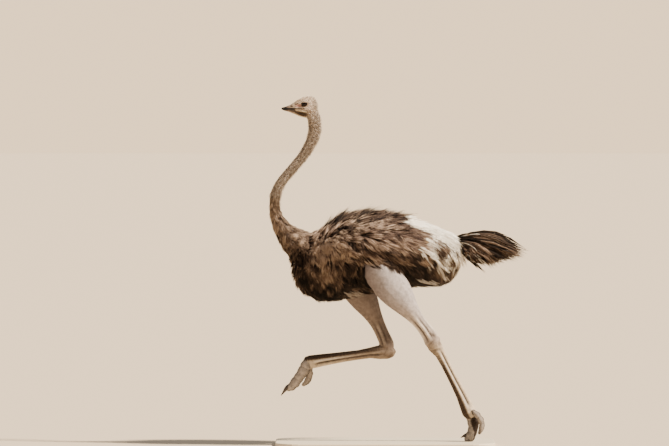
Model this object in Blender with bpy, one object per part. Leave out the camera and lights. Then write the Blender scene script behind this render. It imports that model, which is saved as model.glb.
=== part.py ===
# A life-size ostrich hen, caught in mid-stride with one toe on the ground, on a flat display base.
# Metres, +Z up. The bird faces -X, its left side is towards -Y, and the origin is the middle of
# the base's underside. Every limb is a run of oval rings bridged into one closed skin. Limbs that
# join are parted by thin cuts: the neighbour, swollen by the gap, is taken away from the limb.

import math

import bmesh
import bpy
import numpy as np
from mathutils import Matrix, Vector

GAP = 0.0004  # clearance between neighbouring pieces
BASE_LENGTH, BASE_WIDTH, BASE_THICKNESS = 1.16, 0.64, 0.025
BASE_CORNER, BASE_EDGE = 0.12, 0.005  # corner radius in plan, and the rounding of its top edge
GROUND = BASE_THICKNESS + 0.0003  # level of the toe's small flat

MOUTH_Z = 1.7862  # height of the closed mouth, level with the bill's tip
GAPE_X = -0.424  # corner of the mouth
BILL_BASE_X = -0.482  # where the horn of the bill meets the face
EYE_AT = Vector((-0.4275, 0.0225, 1.8100))
EYE_RADIUS = 0.0190

# Rings are (x, y, z, half depth, half width) along each limb's middle. Depth is measured in the
# bird's own mid-plane, square to the limb, and width across the bird.
TRUNK = [
    (-0.506, 0, 0.955, 0.020, 0.020),
    (-0.492, 0, 0.948, 0.075, 0.065),
    (-0.453, 0, 0.940, 0.134, 0.112),
    (-0.345, 0, 0.958, 0.207, 0.168),
    (-0.220, 0, 1.004, 0.237, 0.202),
    (-0.090, 0, 1.018, 0.230, 0.216),
    (0.040, 0, 1.032, 0.213, 0.214),
    (0.170, 0, 1.020, 0.186, 0.196),
    (0.280, 0, 1.004, 0.165, 0.160),
    (0.355, 0, 0.996, 0.134, 0.118),
    (0.402, 0, 1.008, 0.082, 0.070),
    (0.418, 0, 1.014, 0.030, 0.026),
]
TAIL = [
    (0.350, 0, 1.058, 0.030, 0.026),
    (0.392, 0, 1.054, 0.052, 0.044),
    (0.451, 0, 1.051, 0.079, 0.062),
    (0.520, 0, 1.045, 0.095, 0.078),
    (0.590, 0, 1.038, 0.097, 0.080),
    (0.640, 0, 1.041, 0.070, 0.068),
    (0.685, 0, 1.038, 0.043, 0.048),
    (0.730, 0, 1.030, 0.020, 0.026),
    (0.760, 0, 1.025, 0.004, 0.007),
]
# A folded wing is a lens that follows the trunk's side: (x, z, half depth, half thickness).
WING = [
    (-0.345, 1.085, 0.016, 0.012),
    (-0.300, 1.090, 0.060, 0.034),
    (-0.190, 1.096, 0.096, 0.046),
    (-0.040, 1.086, 0.116, 0.050),
    (0.110, 1.068, 0.120, 0.048),
    (0.240, 1.046, 0.108, 0.042),
    (0.340, 1.018, 0.084, 0.036),
    (0.395, 0.994, 0.056, 0.030),
    (0.425, 0.980, 0.018, 0.016),
]
WING_APART = 0.006  # least distance of a wing from the mid-plane
NECK = [
    (-0.388, 0, 1.800, 0.0240, 0.020),
    (-0.383, 0, 1.757, 0.0360, 0.0295),
    (-0.3735, 0, 1.710, 0.0350, 0.0305),
    (-0.3745, 0, 1.660, 0.0345, 0.0295),
    (-0.391, 0, 1.610, 0.0315, 0.028),
    (-0.428, 0, 1.545, 0.0275, 0.027),
    (-0.478, 0, 1.483, 0.0270, 0.027),
    (-0.528, 0, 1.426, 0.0270, 0.027),
    (-0.566, 0, 1.371, 0.0280, 0.028),
    (-0.585, 0, 1.313, 0.0310, 0.031),
    (-0.585, 0, 1.252, 0.0350, 0.035),
    (-0.567, 0, 1.190, 0.0440, 0.043),
    (-0.527, 0, 1.128, 0.0630, 0.058),
    (-0.470, 0, 1.074, 0.0860, 0.080),
    (-0.405, 0, 1.030, 0.1000, 0.095),
]
NECK_CUTS = (5, 9)  # rings at which the neck is parted into its three lengths
HEAD = [
    (-0.5500, 0, 1.7865, 0.0022, 0.0040),
    (-0.5450, 0, 1.7860, 0.0062, 0.0095),
    (-0.5315, 0, 1.7850, 0.0105, 0.0140),
    (-0.5140, 0, 1.7855, 0.0160, 0.0180),
    (-0.4980, 0, 1.7865, 0.0225, 0.0215),
    (-0.4820, 0, 1.7890, 0.0325, 0.0255),
    (-0.4610, 0, 1.7915, 0.0445, 0.0315),
    (-0.4350, 0, 1.7940, 0.0555, 0.0375),
    (-0.4080, 0, 1.7955, 0.0590, 0.0380),
    (-0.3850, 0, 1.7965, 0.0545, 0.0330),
    (-0.3680, 0, 1.7955, 0.0400, 0.0240),
    (-0.3590, 0, 1.7930, 0.0150, 0.0090),
]
# The legs are written for the bird's left, at -Y, and its right, at +Y. Each thigh and shank is
# one run of rings from inside the flank to the hock, parted at the knee.
LEFT_LEG = [
    (-0.066, -0.120, 1.050, 0.040, 0.035),
    (-0.045, -0.145, 1.000, 0.085, 0.070),
    (-0.026, -0.155, 0.945, 0.106, 0.084),
    (0.020, -0.157, 0.865, 0.097, 0.080),
    (0.071, -0.152, 0.797, 0.082, 0.070),
    (0.122, -0.143, 0.731, 0.056, 0.053),
    (0.170, -0.133, 0.670, 0.0365, 0.038),
    (0.212, -0.124, 0.617, 0.0365, 0.034),
    (0.244, -0.117, 0.571, 0.0425, 0.036),
    (0.256, -0.114, 0.547, 0.0395, 0.034),
    (0.264, -0.112, 0.530, 0.0190, 0.020),
]
LEFT_KNEE = 3
LEFT_TARSUS = [
    (0.238, -0.116, 0.570, 0.014, 0.014),
    (0.247, -0.115, 0.553, 0.037, 0.030),
    (0.265, -0.112, 0.527, 0.039, 0.030),
    (0.291, -0.107, 0.488, 0.0275, 0.022),
    (0.317, -0.101, 0.438, 0.0245, 0.019),
    (0.345, -0.094, 0.383, 0.0245, 0.019),
    (0.376, -0.087, 0.324, 0.0265, 0.020),
    (0.405, -0.080, 0.267, 0.0295, 0.023),
    (0.426, -0.075, 0.220, 0.0345, 0.028),
    (0.444, -0.072, 0.180, 0.0385, 0.032),
    (0.454, -0.071, 0.160, 0.0310, 0.028),
    (0.460, -0.070, 0.147, 0.0110, 0.012),
]
LEFT_BIG_TOE = [
    (0.448, -0.064, 0.186, 0.012, 0.014),
    (0.453, -0.063, 0.168, 0.027, 0.025),
    (0.461, -0.062, 0.138, 0.0295, 0.027),
    (0.465, -0.061, 0.105, 0.0260, 0.025),
    (0.460, -0.060, 0.074, 0.0255, 0.026),
    (0.447, -0.060, 0.048, 0.0285, 0.028),
    (0.430, -0.060, 0.032, 0.0230, 0.023),
    (0.421, -0.060, 0.027, 0.0080, 0.010),
]
LEFT_SMALL_TOE = [
    (0.462, -0.098, 0.190, 0.010, 0.010),
    (0.476, -0.106, 0.176, 0.0170, 0.0165),
    (0.498, -0.111, 0.152, 0.0165, 0.0165),
    (0.511, -0.112, 0.122, 0.0150, 0.0150),
    (0.507, -0.112, 0.092, 0.0135, 0.0135),
    (0.497, -0.112, 0.071, 0.0100, 0.0100),
    (0.492, -0.112, 0.064, 0.0035, 0.0040),
]
LEFT_CLAW = [
    (0.447, -0.060, 0.062, 0.0060, 0.0090),
    (0.432, -0.060, 0.060, 0.0100, 0.0120),
    (0.418, -0.060, 0.054, 0.0075, 0.0090),
    (0.399, -0.060, 0.045, 0.0012, 0.0018),
]
RIGHT_LEG = [
    (-0.232, 0.120, 0.990, 0.040, 0.035),
    (-0.214, 0.142, 0.935, 0.078, 0.068),
    (-0.185, 0.152, 0.882, 0.086, 0.080),
    (-0.145, 0.155, 0.825, 0.085, 0.077),
    (-0.103, 0.150, 0.759, 0.072, 0.064),
    (-0.071, 0.142, 0.704, 0.0525, 0.050),
    (-0.040, 0.132, 0.645, 0.0385, 0.037),
    (-0.013, 0.122, 0.586, 0.0355, 0.033),
    (0.008, 0.115, 0.540, 0.0375, 0.034),
    (0.017, 0.112, 0.513, 0.0340, 0.031),
    (0.022, 0.111, 0.495, 0.0120, 0.014),
]
RIGHT_KNEE = 3
RIGHT_TARSUS = [
    (0.054, 0.112, 0.500, 0.012, 0.012),
    (0.043, 0.112, 0.497, 0.031, 0.026),
    (0.014, 0.111, 0.494, 0.041, 0.030),
    (-0.030, 0.107, 0.492, 0.0375, 0.027),
    (-0.080, 0.102, 0.488, 0.0285, 0.021),
    (-0.140, 0.096, 0.478, 0.0255, 0.019),
    (-0.210, 0.090, 0.469, 0.0270, 0.019),
    (-0.285, 0.083, 0.458, 0.0300, 0.021),
    (-0.345, 0.078, 0.449, 0.0335, 0.025),
    (-0.395, 0.074, 0.440, 0.0370, 0.031),
    (-0.420, 0.072, 0.436, 0.0330, 0.030),
    (-0.434, 0.071, 0.434, 0.0130, 0.014),
]
RIGHT_BIG_TOE = [
    (-0.410, 0.064, 0.452, 0.012, 0.014),
    (-0.416, 0.063, 0.436, 0.026, 0.026),
    (-0.431, 0.062, 0.404, 0.0270, 0.027),
    (-0.449, 0.061, 0.372, 0.0260, 0.026),
    (-0.470, 0.060, 0.340, 0.0270, 0.025),
    (-0.494, 0.060, 0.312, 0.0245, 0.024),
    (-0.515, 0.060, 0.296, 0.0175, 0.018),
    (-0.524, 0.060, 0.290, 0.0060, 0.007),
]
RIGHT_SMALL_TOE = [
    (-0.408, 0.096, 0.440, 0.010, 0.010),
    (-0.404, 0.105, 0.422, 0.0180, 0.0165),
    (-0.400, 0.110, 0.392, 0.0175, 0.0165),
    (-0.402, 0.112, 0.361, 0.0175, 0.0155),
    (-0.415, 0.112, 0.334, 0.0160, 0.0140),
    (-0.433, 0.112, 0.319, 0.0105, 0.0095),
    (-0.441, 0.112, 0.314, 0.0035, 0.0040),
]
RIGHT_CLAW = [
    (-0.503, 0.060, 0.322, 0.0060, 0.0090),
    (-0.517, 0.060, 0.308, 0.0120, 0.0120),
    (-0.532, 0.060, 0.290, 0.0085, 0.0090),
    (-0.552, 0.060, 0.262, 0.0015, 0.0020),
]

# Colours are linear RGB with roughness.
PLUMAGE = ("plumage", (0.060, 0.040, 0.026), 0.90)
DARK_PLUMAGE = ("dark_plumage", (0.035, 0.024, 0.017), 0.90)
DOWN = ("neck_down", (0.230, 0.165, 0.125), 0.90)
BARE_SKIN = ("bare_skin", (0.520, 0.455, 0.420), 0.60)
SCUTES = ("scutes", (0.420, 0.355, 0.280), 0.50)
HORN = ("horn", (0.170, 0.110, 0.065), 0.35)
EYE = ("eye", (0.018, 0.008, 0.004), 0.05)
PAINTED_WOOD = ("painted_wood", (0.560, 0.460, 0.360), 0.55)


def material(finish):
    name, colour, roughness = finish
    made = bpy.data.materials.get(name)
    if made is None:
        made = bpy.data.materials.new(name)
        made.use_nodes = True
        shader = made.node_tree.nodes["Principled BSDF"]
        shader.inputs["Base Color"].default_value = (*colour, 1.0)
        shader.inputs["Roughness"].default_value = roughness
        shader.inputs["Metallic"].default_value = 0.0
    return made


def smooth_rows(rows, steps):
    """A Catmull-Rom curve through the rows, with this many steps between each two."""
    rows = np.array(rows, float)
    padded = np.vstack([2 * rows[0] - rows[1], rows, 2 * rows[-1] - rows[-2]])
    made = []
    for i in range(len(rows) - 1):
        a, b, c, d = padded[i : i + 4]
        for t in np.arange(steps) / steps:
            made.append(b + 0.5 * t * (c - a + t * (2 * a - 5 * b + 4 * c - d + t * (3 * (b - c) + d - a))))
    made.append(rows[-1])
    return made


def ring_frames(rows, upright):
    """For each row its centre and axes as a matrix: X across the bird, Y in depth, Z along the limb."""
    centres = [Vector(row[:3]) for row in rows]
    frames = []
    for i, centre in enumerate(centres):
        along = (centres[min(i + 1, len(rows) - 1)] - centres[max(i - 1, 0)]).normalized()
        if upright:
            along = Vector((math.copysign(1, along.x), 0, 0))
        across = (Vector((0, 1, 0)) - along * along.y).normalized()
        axes = Matrix((across, along.cross(across), along)).transposed()
        frames.append(Matrix.Translation(centre) @ axes.to_4x4())
    return frames


def limb_mesh(rows, sides, steps=2, upright=False, pear=0.0):
    """A closed bmesh of bridged rings. Pear widens the rings at the end of their depth axis."""
    bm = bmesh.new()
    rows = smooth_rows(rows, steps)
    loops = []
    for i, (row, frame) in enumerate(zip(rows, ring_frames(rows, upright))):
        depth, width = max(row[3], 0.001), max(row[4], 0.001)
        scale = Matrix.Diagonal((width, depth, 1, 1))
        ends = i in (0, len(rows) - 1)
        made = bmesh.ops.create_circle(bm, cap_ends=ends, segments=sides, radius=1, matrix=frame @ scale)
        across, up = frame.col[0].xyz, frame.col[1].xyz
        for vert in made["verts"]:
            offset = vert.co - frame.translation
            vert.co += across * offset.dot(across) * pear * offset.dot(up) / depth
        loops.append(list({edge for vert in made["verts"] for edge in vert.link_edges}))
    for one, other in zip(loops, loops[1:]):
        bmesh.ops.bridge_loops(bm, edges=one + other)
    bmesh.ops.recalc_face_normals(bm, faces=bm.faces)
    return bm


def keep_side(bm, point, normal):
    """Cuts the mesh by a plane, closes it, and keeps what lies along the normal."""
    everything = bm.verts[:] + bm.edges[:] + bm.faces[:]
    cut = bmesh.ops.bisect_plane(bm, geom=everything, dist=1e-6, plane_co=point, plane_no=normal, clear_inner=True)
    rim = [item for item in cut["geom_cut"] if isinstance(item, bmesh.types.BMEdge)]
    bmesh.ops.contextual_create(bm, geom=rim)
    bmesh.ops.recalc_face_normals(bm, faces=bm.faces)


def add_object(name, bm, finish, origin):
    """Makes the bmesh an object whose origin is the given joint, and shades it smooth. It is made
    of triangles here, so that a swollen copy keeps the very same facets."""
    bmesh.ops.translate(bm, verts=bm.verts, vec=-Vector(origin))
    bmesh.ops.triangulate(bm, faces=bm.faces)
    mesh = bpy.data.meshes.new(name)
    bm.to_mesh(mesh)
    bm.free()
    mesh.shade_smooth()
    mesh.set_sharp_from_angle(angle=math.radians(50))
    mesh.materials.append(material(finish))
    made = bpy.data.objects.new(name, mesh)
    made.location = origin
    made.parent = bpy.data.objects["ostrich"]
    bpy.context.scene.collection.objects.link(made)
    return made


def limb(name, rows, finish, **shape):
    return add_object(name, limb_mesh(rows, **shape), finish, rows[0][:3])


def as_cutter(made):
    made.hide_render = True
    made.display_type = "WIRE"
    return made


def cut_by(target, *cutters):
    for cutter in cutters:
        modifier = target.modifiers.new("cut by " + cutter.name, "BOOLEAN")
        modifier.operation = "DIFFERENCE"
        modifier.solver = "EXACT"
        modifier.object = cutter


def swollen(made, gap=GAP):
    """A helper copy of a piece, grown by the gap, that its neighbours are cut by."""
    copy = bpy.data.objects.new(made.name + "_clear", made.data)
    copy.location = made.location
    copy.parent = made.parent
    bpy.context.scene.collection.objects.link(copy)
    grow = copy.modifiers.new("gap", "DISPLACE")
    grow.strength = gap
    grow.mid_level = 0
    return as_cutter(copy)


def ellipsoid(name, centre, radii, finish, turn=0.0, rings=6, sides=8):
    bm = bmesh.new()
    shape = Matrix.Rotation(turn, 4, "Y") @ Matrix.Diagonal((*radii, 1)) @ Matrix.Rotation(math.pi / 2, 4, "X")
    bmesh.ops.create_uvsphere(bm, u_segments=sides, v_segments=rings, radius=1, matrix=shape)
    bmesh.ops.translate(bm, verts=bm.verts, vec=Vector(centre))
    return add_object(name, bm, finish, centre)


def make_neck():
    """The neck is one S-shaped run of rings, parted square to its middle line into three lengths."""
    points = [Vector(row[:3]) for row in NECK]
    cuts = [(points[i], (points[i + 1] - points[i - 1]).normalized()) for i in NECK_CUTS]
    pieces = []
    for i, name in enumerate(("neck_upper", "neck_middle", "neck_lower")):
        bm = limb_mesh(NECK, sides=12)
        start = NECK[0][:3]
        if i > 0:
            start, along = cuts[i - 1]
            keep_side(bm, start + along * GAP / 2, along)
        if i < len(cuts):
            end, along = cuts[i]
            keep_side(bm, end - along * GAP / 2, -along)
        pieces.append(add_object(name, bm, DOWN, start))
    return pieces


def make_head():
    """Skull and bill are one run of rings. The bill is parted at the face and along the mouth."""
    shape = dict(sides=16, upright=True, pear=0.08)
    face = Vector((BILL_BASE_X, 0, MOUTH_Z))
    forward, up, half_gap = Vector((-1, 0, 0)), Vector((0, 0, 1)), GAP / 2

    bm = limb_mesh(HEAD, **shape)
    keep_side(bm, face - forward * half_gap, -forward)
    head = add_object("head", bm, DOWN, face)

    bills = []
    for name, side in (("bill_upper", up), ("bill_lower", -up)):
        bm = limb_mesh(HEAD, **shape)
        keep_side(bm, face + forward * half_gap, forward)
        keep_side(bm, face + side * half_gap, side)
        bills.append(add_object(name, bm, HORN, face))

    # The mouth runs on into the face as a thin slit, up to the gape.
    bm = bmesh.new()
    slit = Matrix.Diagonal((GAPE_X - BILL_BASE_X + 0.02, 0.2, 0.0012, 1))
    bmesh.ops.create_cube(bm, size=1, matrix=slit)
    middle = Vector((GAPE_X + (BILL_BASE_X - 0.02 - GAPE_X) / 2, 0, MOUTH_Z))
    bmesh.ops.translate(bm, verts=bm.verts, vec=middle)
    cut_by(head, as_cutter(add_object("mouth_slit", bm, HORN, middle)))

    for side, name in ((-1, "left"), (1, "right")):
        centre = (EYE_AT.x, side * EYE_AT.y, EYE_AT.z)
        eye = ellipsoid("eye_" + name, centre, (EYE_RADIUS,) * 3, EYE, rings=8, sides=12)
        ear = ellipsoid("ear_" + name, (-0.3890, side * 0.0365, 1.7830), (0.006, 0.008, 0.009), DOWN)
        cut_by(head, swollen(eye), as_cutter(ear))
        nostril = ellipsoid("nostril_" + name, (-0.4960, side * 0.0185, 1.7985), (0.008, 0.005, 0.0026), HORN, turn=0.35)
        cut_by(bills[0], as_cutter(nostril))
    return head


def make_leg(side, leg_rows, knee, tarsus_rows):
    """Thigh and shank parted at the knee, and the tarsus that hinges on the shank at the hock."""
    whole = limb_mesh(leg_rows, sides=13, pear=-0.05)
    clear = swollen(as_cutter(add_object("leg_" + side, whole, BARE_SKIN, leg_rows[0][:3])))

    points = [Vector(row[:3]) for row in leg_rows]
    along = (points[knee + 1] - points[knee - 1]).normalized()
    for name, direction, start in (("thigh_", -along, points[0]), ("shank_", along, points[knee])):
        bm = limb_mesh(leg_rows, sides=13, pear=-0.05)
        keep_side(bm, points[knee] + direction * GAP / 2, direction)
        add_object(name + side, bm, BARE_SKIN, start)

    tarsus = limb("tarsus_" + side, tarsus_rows, SCUTES, sides=11, steps=1)
    cut_by(tarsus, clear)
    return clear, tarsus


def make_toes(side, tarsus, big_rows, small_rows, claw_rows):
    """The two toes of an ostrich. The inner one is thick and carries the claw."""
    ankle = swollen(tarsus)
    bm = limb_mesh(big_rows, sides=8)
    keep_side(bm, Vector((0, 0, GROUND)), Vector((0, 0, 1)))
    big = add_object("toe_big_" + side, bm, SCUTES, big_rows[0][:3])
    cut_by(big, ankle)
    small = limb("toe_small_" + side, small_rows, SCUTES, sides=8)
    cut_by(small, ankle, swollen(big))
    claw = limb("claw_" + side, claw_rows, HORN, sides=8)
    cut_by(big, swollen(claw))


def trunk_side(x, z):
    """How far the trunk's side stands from the mid-plane at this length and height."""
    rows = np.array(TRUNK)
    middle, depth, width = (np.interp(x, rows[:, 0], rows[:, i]) for i in (2, 3, 4))
    level = min(abs(z - middle) / depth, 0.97)
    return width * math.sqrt(1 - level * level)


def make_wing(name, side):
    """The lens of the folded wing, bent so that its middle lies on the trunk's side."""
    bm = limb_mesh([(x, 0, z, depth, width) for x, z, depth, width in WING], sides=12, upright=True)
    for vert in bm.verts:
        vert.co.y = side * max(vert.co.y + trunk_side(vert.co.x, vert.co.z), WING_APART)
    bmesh.ops.recalc_face_normals(bm, faces=bm.faces)
    return add_object("wing_" + name, bm, PLUMAGE, (WING[0][0], side * trunk_side(*WING[0][:2]), WING[0][1]))


def make_body(legs):
    """The trunk, with sockets for the legs, the tail, the folded wings and the neck on it."""
    trunk = limb("trunk", TRUNK, PLUMAGE, sides=20, upright=True, pear=0.10)
    round_trunk = swollen(trunk)
    cut_by(trunk, *legs)
    tail = limb("tail", TAIL, DARK_PLUMAGE, sides=12, upright=True, pear=-0.10)
    cut_by(tail, round_trunk)
    for name, side, leg in (("left", -1, legs[0]), ("right", 1, legs[1])):
        cut_by(make_wing(name, side), round_trunk, leg, swollen(tail))
    return round_trunk


def make_base():
    """A flat plate with round corners and a softened top edge."""
    bm = bmesh.new()
    plate = Matrix.Translation((0, 0, BASE_THICKNESS / 2)) @ Matrix.Diagonal((BASE_LENGTH, BASE_WIDTH, BASE_THICKNESS, 1))
    bmesh.ops.create_cube(bm, size=1, matrix=plate)
    upright = [e for e in bm.edges if abs(e.verts[0].co.z - e.verts[1].co.z) > BASE_THICKNESS / 2]
    bmesh.ops.bevel(bm, geom=upright, offset=BASE_CORNER, segments=6, profile=0.5, affect="EDGES", material=-1)
    top = [e for e in bm.edges if all(v.co.z > BASE_THICKNESS - 1e-6 for v in e.verts)]
    bmesh.ops.bevel(bm, geom=top, offset=BASE_EDGE, segments=2, profile=0.5, affect="EDGES", material=-1)
    add_object("stand_base", bm, PAINTED_WOOD, (0, 0, 0))


def main():
    for old in list(bpy.data.objects):
        bpy.data.objects.remove(old)
    bpy.context.scene.collection.objects.link(bpy.data.objects.new("ostrich", None))

    left_leg, left_tarsus = make_leg("left", LEFT_LEG, LEFT_KNEE, LEFT_TARSUS)
    right_leg, right_tarsus = make_leg("right", RIGHT_LEG, RIGHT_KNEE, RIGHT_TARSUS)
    make_toes("left", left_tarsus, LEFT_BIG_TOE, LEFT_SMALL_TOE, LEFT_CLAW)
    make_toes("right", right_tarsus, RIGHT_BIG_TOE, RIGHT_SMALL_TOE, RIGHT_CLAW)
    round_trunk = make_body([left_leg, right_leg])
    head = make_head()
    upper, _, lower = make_neck()
    cut_by(upper, swollen(head))
    cut_by(lower, round_trunk)
    make_base()


main()
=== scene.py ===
# A life-size running ostrich hen: skin, horn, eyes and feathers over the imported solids.
# Metres, +Z up. The bird faces -X and its left side is towards -Y.

import math

import bmesh
import bpy
import numpy as np
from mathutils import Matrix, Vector
from mathutils.bvhtree import BVHTree
from mathutils.kdtree import KDTree


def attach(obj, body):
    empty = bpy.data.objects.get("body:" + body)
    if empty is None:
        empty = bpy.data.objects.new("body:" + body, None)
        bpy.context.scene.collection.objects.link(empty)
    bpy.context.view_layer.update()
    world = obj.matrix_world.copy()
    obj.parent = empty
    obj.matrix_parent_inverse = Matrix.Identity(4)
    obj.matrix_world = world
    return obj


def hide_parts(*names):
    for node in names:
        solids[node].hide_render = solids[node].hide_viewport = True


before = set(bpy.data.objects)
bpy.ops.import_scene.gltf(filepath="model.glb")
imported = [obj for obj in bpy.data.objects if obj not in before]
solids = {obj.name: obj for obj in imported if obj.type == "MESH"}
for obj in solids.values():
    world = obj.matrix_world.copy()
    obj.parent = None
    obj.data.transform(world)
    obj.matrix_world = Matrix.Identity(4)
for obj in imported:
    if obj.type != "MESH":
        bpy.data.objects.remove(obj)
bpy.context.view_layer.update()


def linearRgb(hexText):  # sRGB hex to the linear colour that a shader takes
    parts = [int(hexText[i:i + 2], 16) / 255 for i in (1, 3, 5)]
    return tuple(p / 12.92 if p <= 0.04045 else ((p + 0.055) / 1.055) ** 2.4 for p in parts) + (1.0,)


def feed(tree, node, inputs):  # each socket's name or number, with a plain value or the output that feeds it
    for name, value in inputs.items():
        if isinstance(value, bpy.types.NodeSocket):
            tree.links.new(value, node.inputs[name])
        else:
            node.inputs[name].default_value = value


def addNode(tree, kind, inputs=None, stops=(), **settings):
    node = tree.nodes.new("ShaderNode" + kind)
    for name, value in settings.items():
        setattr(node, name, value)
    feed(tree, node, inputs or {})
    if stops:  # places and sRGB colours along a ramp
        elements = node.color_ramp.elements
        while len(elements) < len(stops):
            elements.new(0.5)
        for element, (place, colour) in zip(elements, stops):
            element.position, element.color = place, linearRgb(colour)
    return node


def newMaterial(name):
    material = bpy.data.materials.new(name)
    material.use_nodes = True
    tree = material.node_tree
    return material, tree, tree.nodes["Principled BSDF"], addNode(tree, "TexCoord").outputs["Object"]


def newObject(name, data):
    made = bpy.data.objects.new(name, data)
    bpy.context.scene.collection.objects.link(made)
    return made


def objectFromBmesh(name, bm, smooth=True):
    mesh = bpy.data.meshes.new(name)
    bm.to_mesh(mesh)
    bm.free()
    if smooth:
        mesh.shade_smooth()
    return newObject(name, mesh)


def modified(made, kind, **settings):  # one modifier, applied
    modifier = made.modifiers.new(kind.lower(), kind)
    for name, value in settings.items():
        setattr(modifier, name, value)
    graph = bpy.context.evaluated_depsgraph_get()
    mesh = bpy.data.meshes.new_from_object(made.evaluated_get(graph))
    made.modifiers.clear()
    made.data = mesh
    return made


def remeshed(made, voxel):
    return modified(made, "REMESH", mode="VOXEL", voxel_size=voxel, use_smooth_shade=True)


def coordinates(mesh, data="vertices", name="co"):
    items = getattr(mesh, data)
    found = np.empty(len(items) * 3, np.float32)
    items.foreach_get(name, found)
    return found.reshape(-1, 3).astype(float)


def normalsOf(mesh):
    return coordinates(mesh, "vertex_normals", "vector")


def setCoordinates(mesh, points):
    mesh.vertices.foreach_set("co", np.ascontiguousarray(points, np.float32).reshape(-1))
    mesh.update()


def trianglesOf(mesh):
    mesh.calc_loop_triangles()
    found = np.empty(len(mesh.loop_triangles) * 3, np.int32)
    mesh.loop_triangles.foreach_get("vertices", found)
    return found.reshape(-1, 3)


def addFloat(mesh, name, values):
    attribute = mesh.attributes.new(name, "FLOAT", "POINT")
    attribute.data.foreach_set("value", np.ascontiguousarray(values, np.float32))


def fade(value, start, end):  # 0 at start, 1 at end, smooth between
    t = np.clip((np.asarray(value, float) - start) / (end - start), 0, 1)
    return t * t * (3 - 2 * t)


def ridge(value, middle, width):  # 1 in the middle, falling off smoothly on both sides
    return np.exp(-((value - middle) / width) ** 2)


def oval(points, x, z, wide, tall):  # 0 in the middle of an upright oval, 1 on its edge
    return np.hypot((points[:, 0] - x) / wide, (points[:, 2] - z) / tall)


def line(x, places):  # broken line through the places
    return np.interp(x, [p[0] for p in places], [p[1] for p in places])


def unit(vectors):
    return vectors / np.maximum(np.linalg.norm(vectors, axis=-1, keepdims=True), 1e-9)


def starting(names, *starts):  # which of the names start with one of these words
    return np.any([np.char.startswith(names, start) for start in starts], axis=0)


def finishPiece(piece, material, slotName, *replaced):
    piece.data.materials.clear()
    piece.data.materials.append(material)
    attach(piece, "root")
    if replaced:
        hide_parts(*replaced)


def mergedCopy(names, swell=0.0):
    # the named solids in one bmesh, their doubled points merged, each swollen a little so that they overlap
    whole = bmesh.new()
    for name in names:
        bm = bmesh.new()
        bm.from_mesh(solids[name].data)
        bmesh.ops.remove_doubles(bm, verts=bm.verts, dist=1e-5)
        bm.normal_update()
        for vert in bm.verts:
            vert.co += vert.normal * swell
        part = bpy.data.meshes.new("part")
        bm.to_mesh(part)
        bm.free()
        whole.from_mesh(part)
        bpy.data.meshes.remove(part)
    return whole


def blurred(made, values, repeats):
    # one or three numbers per point of a mesh, spread over its neighbours
    mesh = made.data.copy()
    setCoordinates(mesh, np.broadcast_to(values, (len(mesh.vertices), 3)))
    helper = modified(newObject("blur", mesh), "SMOOTH", factor=0.5, iterations=repeats)
    found = coordinates(helper.data)[:, :values.shape[1]]
    bpy.data.objects.remove(helper)
    return found


def softened(made, repeats):
    # smooths the facets away without shrinking the form: what the blur took off is blurred and put back
    before = coordinates(made.data)
    once = blurred(made, before, repeats)
    return once + blurred(made, before - once, repeats)


# camera, floor and light

cameraSettings = dict(distance=30.0, height=1.567, aimX=-0.268, aimZ=1.180, lens=304.6, sensor=36, near=1, far=5000)
lightSettings = dict(sunFrom=(1.00, -0.36, 1.05), sunStrength=14.0, sunSoftness=0.10, sunColour="#fff0da",
                     skyColour="#f4f0ea", skyStrength=0.55, floorColour="#c6b59e", floorRadius=2500, paleness=0.93)


def makeStage():
    camera = bpy.data.cameras.new("camera")
    cameraObject = newObject("camera", camera)
    camera.lens, camera.sensor_width = cameraSettings["lens"], cameraSettings["sensor"]
    camera.clip_start, camera.clip_end = cameraSettings["near"], cameraSettings["far"]
    aim = Vector((cameraSettings["aimX"], 0, cameraSettings["aimZ"]))
    cameraObject.location = (aim.x, -cameraSettings["distance"], cameraSettings["height"])
    cameraObject.rotation_euler = (aim - cameraObject.location).to_track_quat("-Z", "Y").to_euler()
    bpy.context.scene.camera = cameraObject

    bm = bmesh.new()
    bmesh.ops.create_circle(bm, cap_ends=True, segments=96, radius=lightSettings["floorRadius"])
    floor = objectFromBmesh("floor", bm, smooth=False)
    material, tree, shader, _ = newMaterial("palePlaster")  # pale matt plaster
    feed(tree, shader, {"Base Color": linearRgb(lightSettings["floorColour"]), "Roughness": 0.85})
    floor.data.materials.append(material)

    sun = bpy.data.lights.new("keyLight", "SUN")
    sun.energy, sun.angle = lightSettings["sunStrength"], lightSettings["sunSoftness"]
    sun.color = linearRgb(lightSettings["sunColour"])[:3]
    sunFrom = Vector(lightSettings["sunFrom"])
    newObject("keyLight", sun).rotation_euler = (-sunFrom).to_track_quat("-Z", "Y").to_euler()

    world = bpy.data.worlds.new("studio")
    world.use_nodes = True
    tree = world.node_tree
    floorTone, sunTone, skyTone = (linearRgb(lightSettings[name]) for name in ("floorColour", "sunColour", "skyColour"))
    sky = tree.nodes["Background"]
    feed(tree, sky, {"Color": skyTone, "Strength": lightSettings["skyStrength"]})
    # the sky lights the bird softly, while the view past the floor stays as pale as the floor
    level = lightSettings["sunStrength"] * sunFrom.normalized().z / math.pi
    pale = [f * (level * sunlit + lightSettings["skyStrength"] * soft) * lightSettings["paleness"]
            for f, sunlit, soft in zip(floorTone, sunTone, skyTone)]
    backdrop = addNode(tree, "Background", {"Color": pale[:3] + [1.0], "Strength": 1.0})
    seen = addNode(tree, "LightPath").outputs["Is Camera Ray"]
    either = addNode(tree, "MixShader", {0: seen, 1: sky.outputs[0], 2: backdrop.outputs[0]})
    feed(tree, tree.nodes["World Output"], {"Surface": either.outputs[0]})
    bpy.context.scene.world = world
    print("stage made")


makeStage()

# skin

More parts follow.
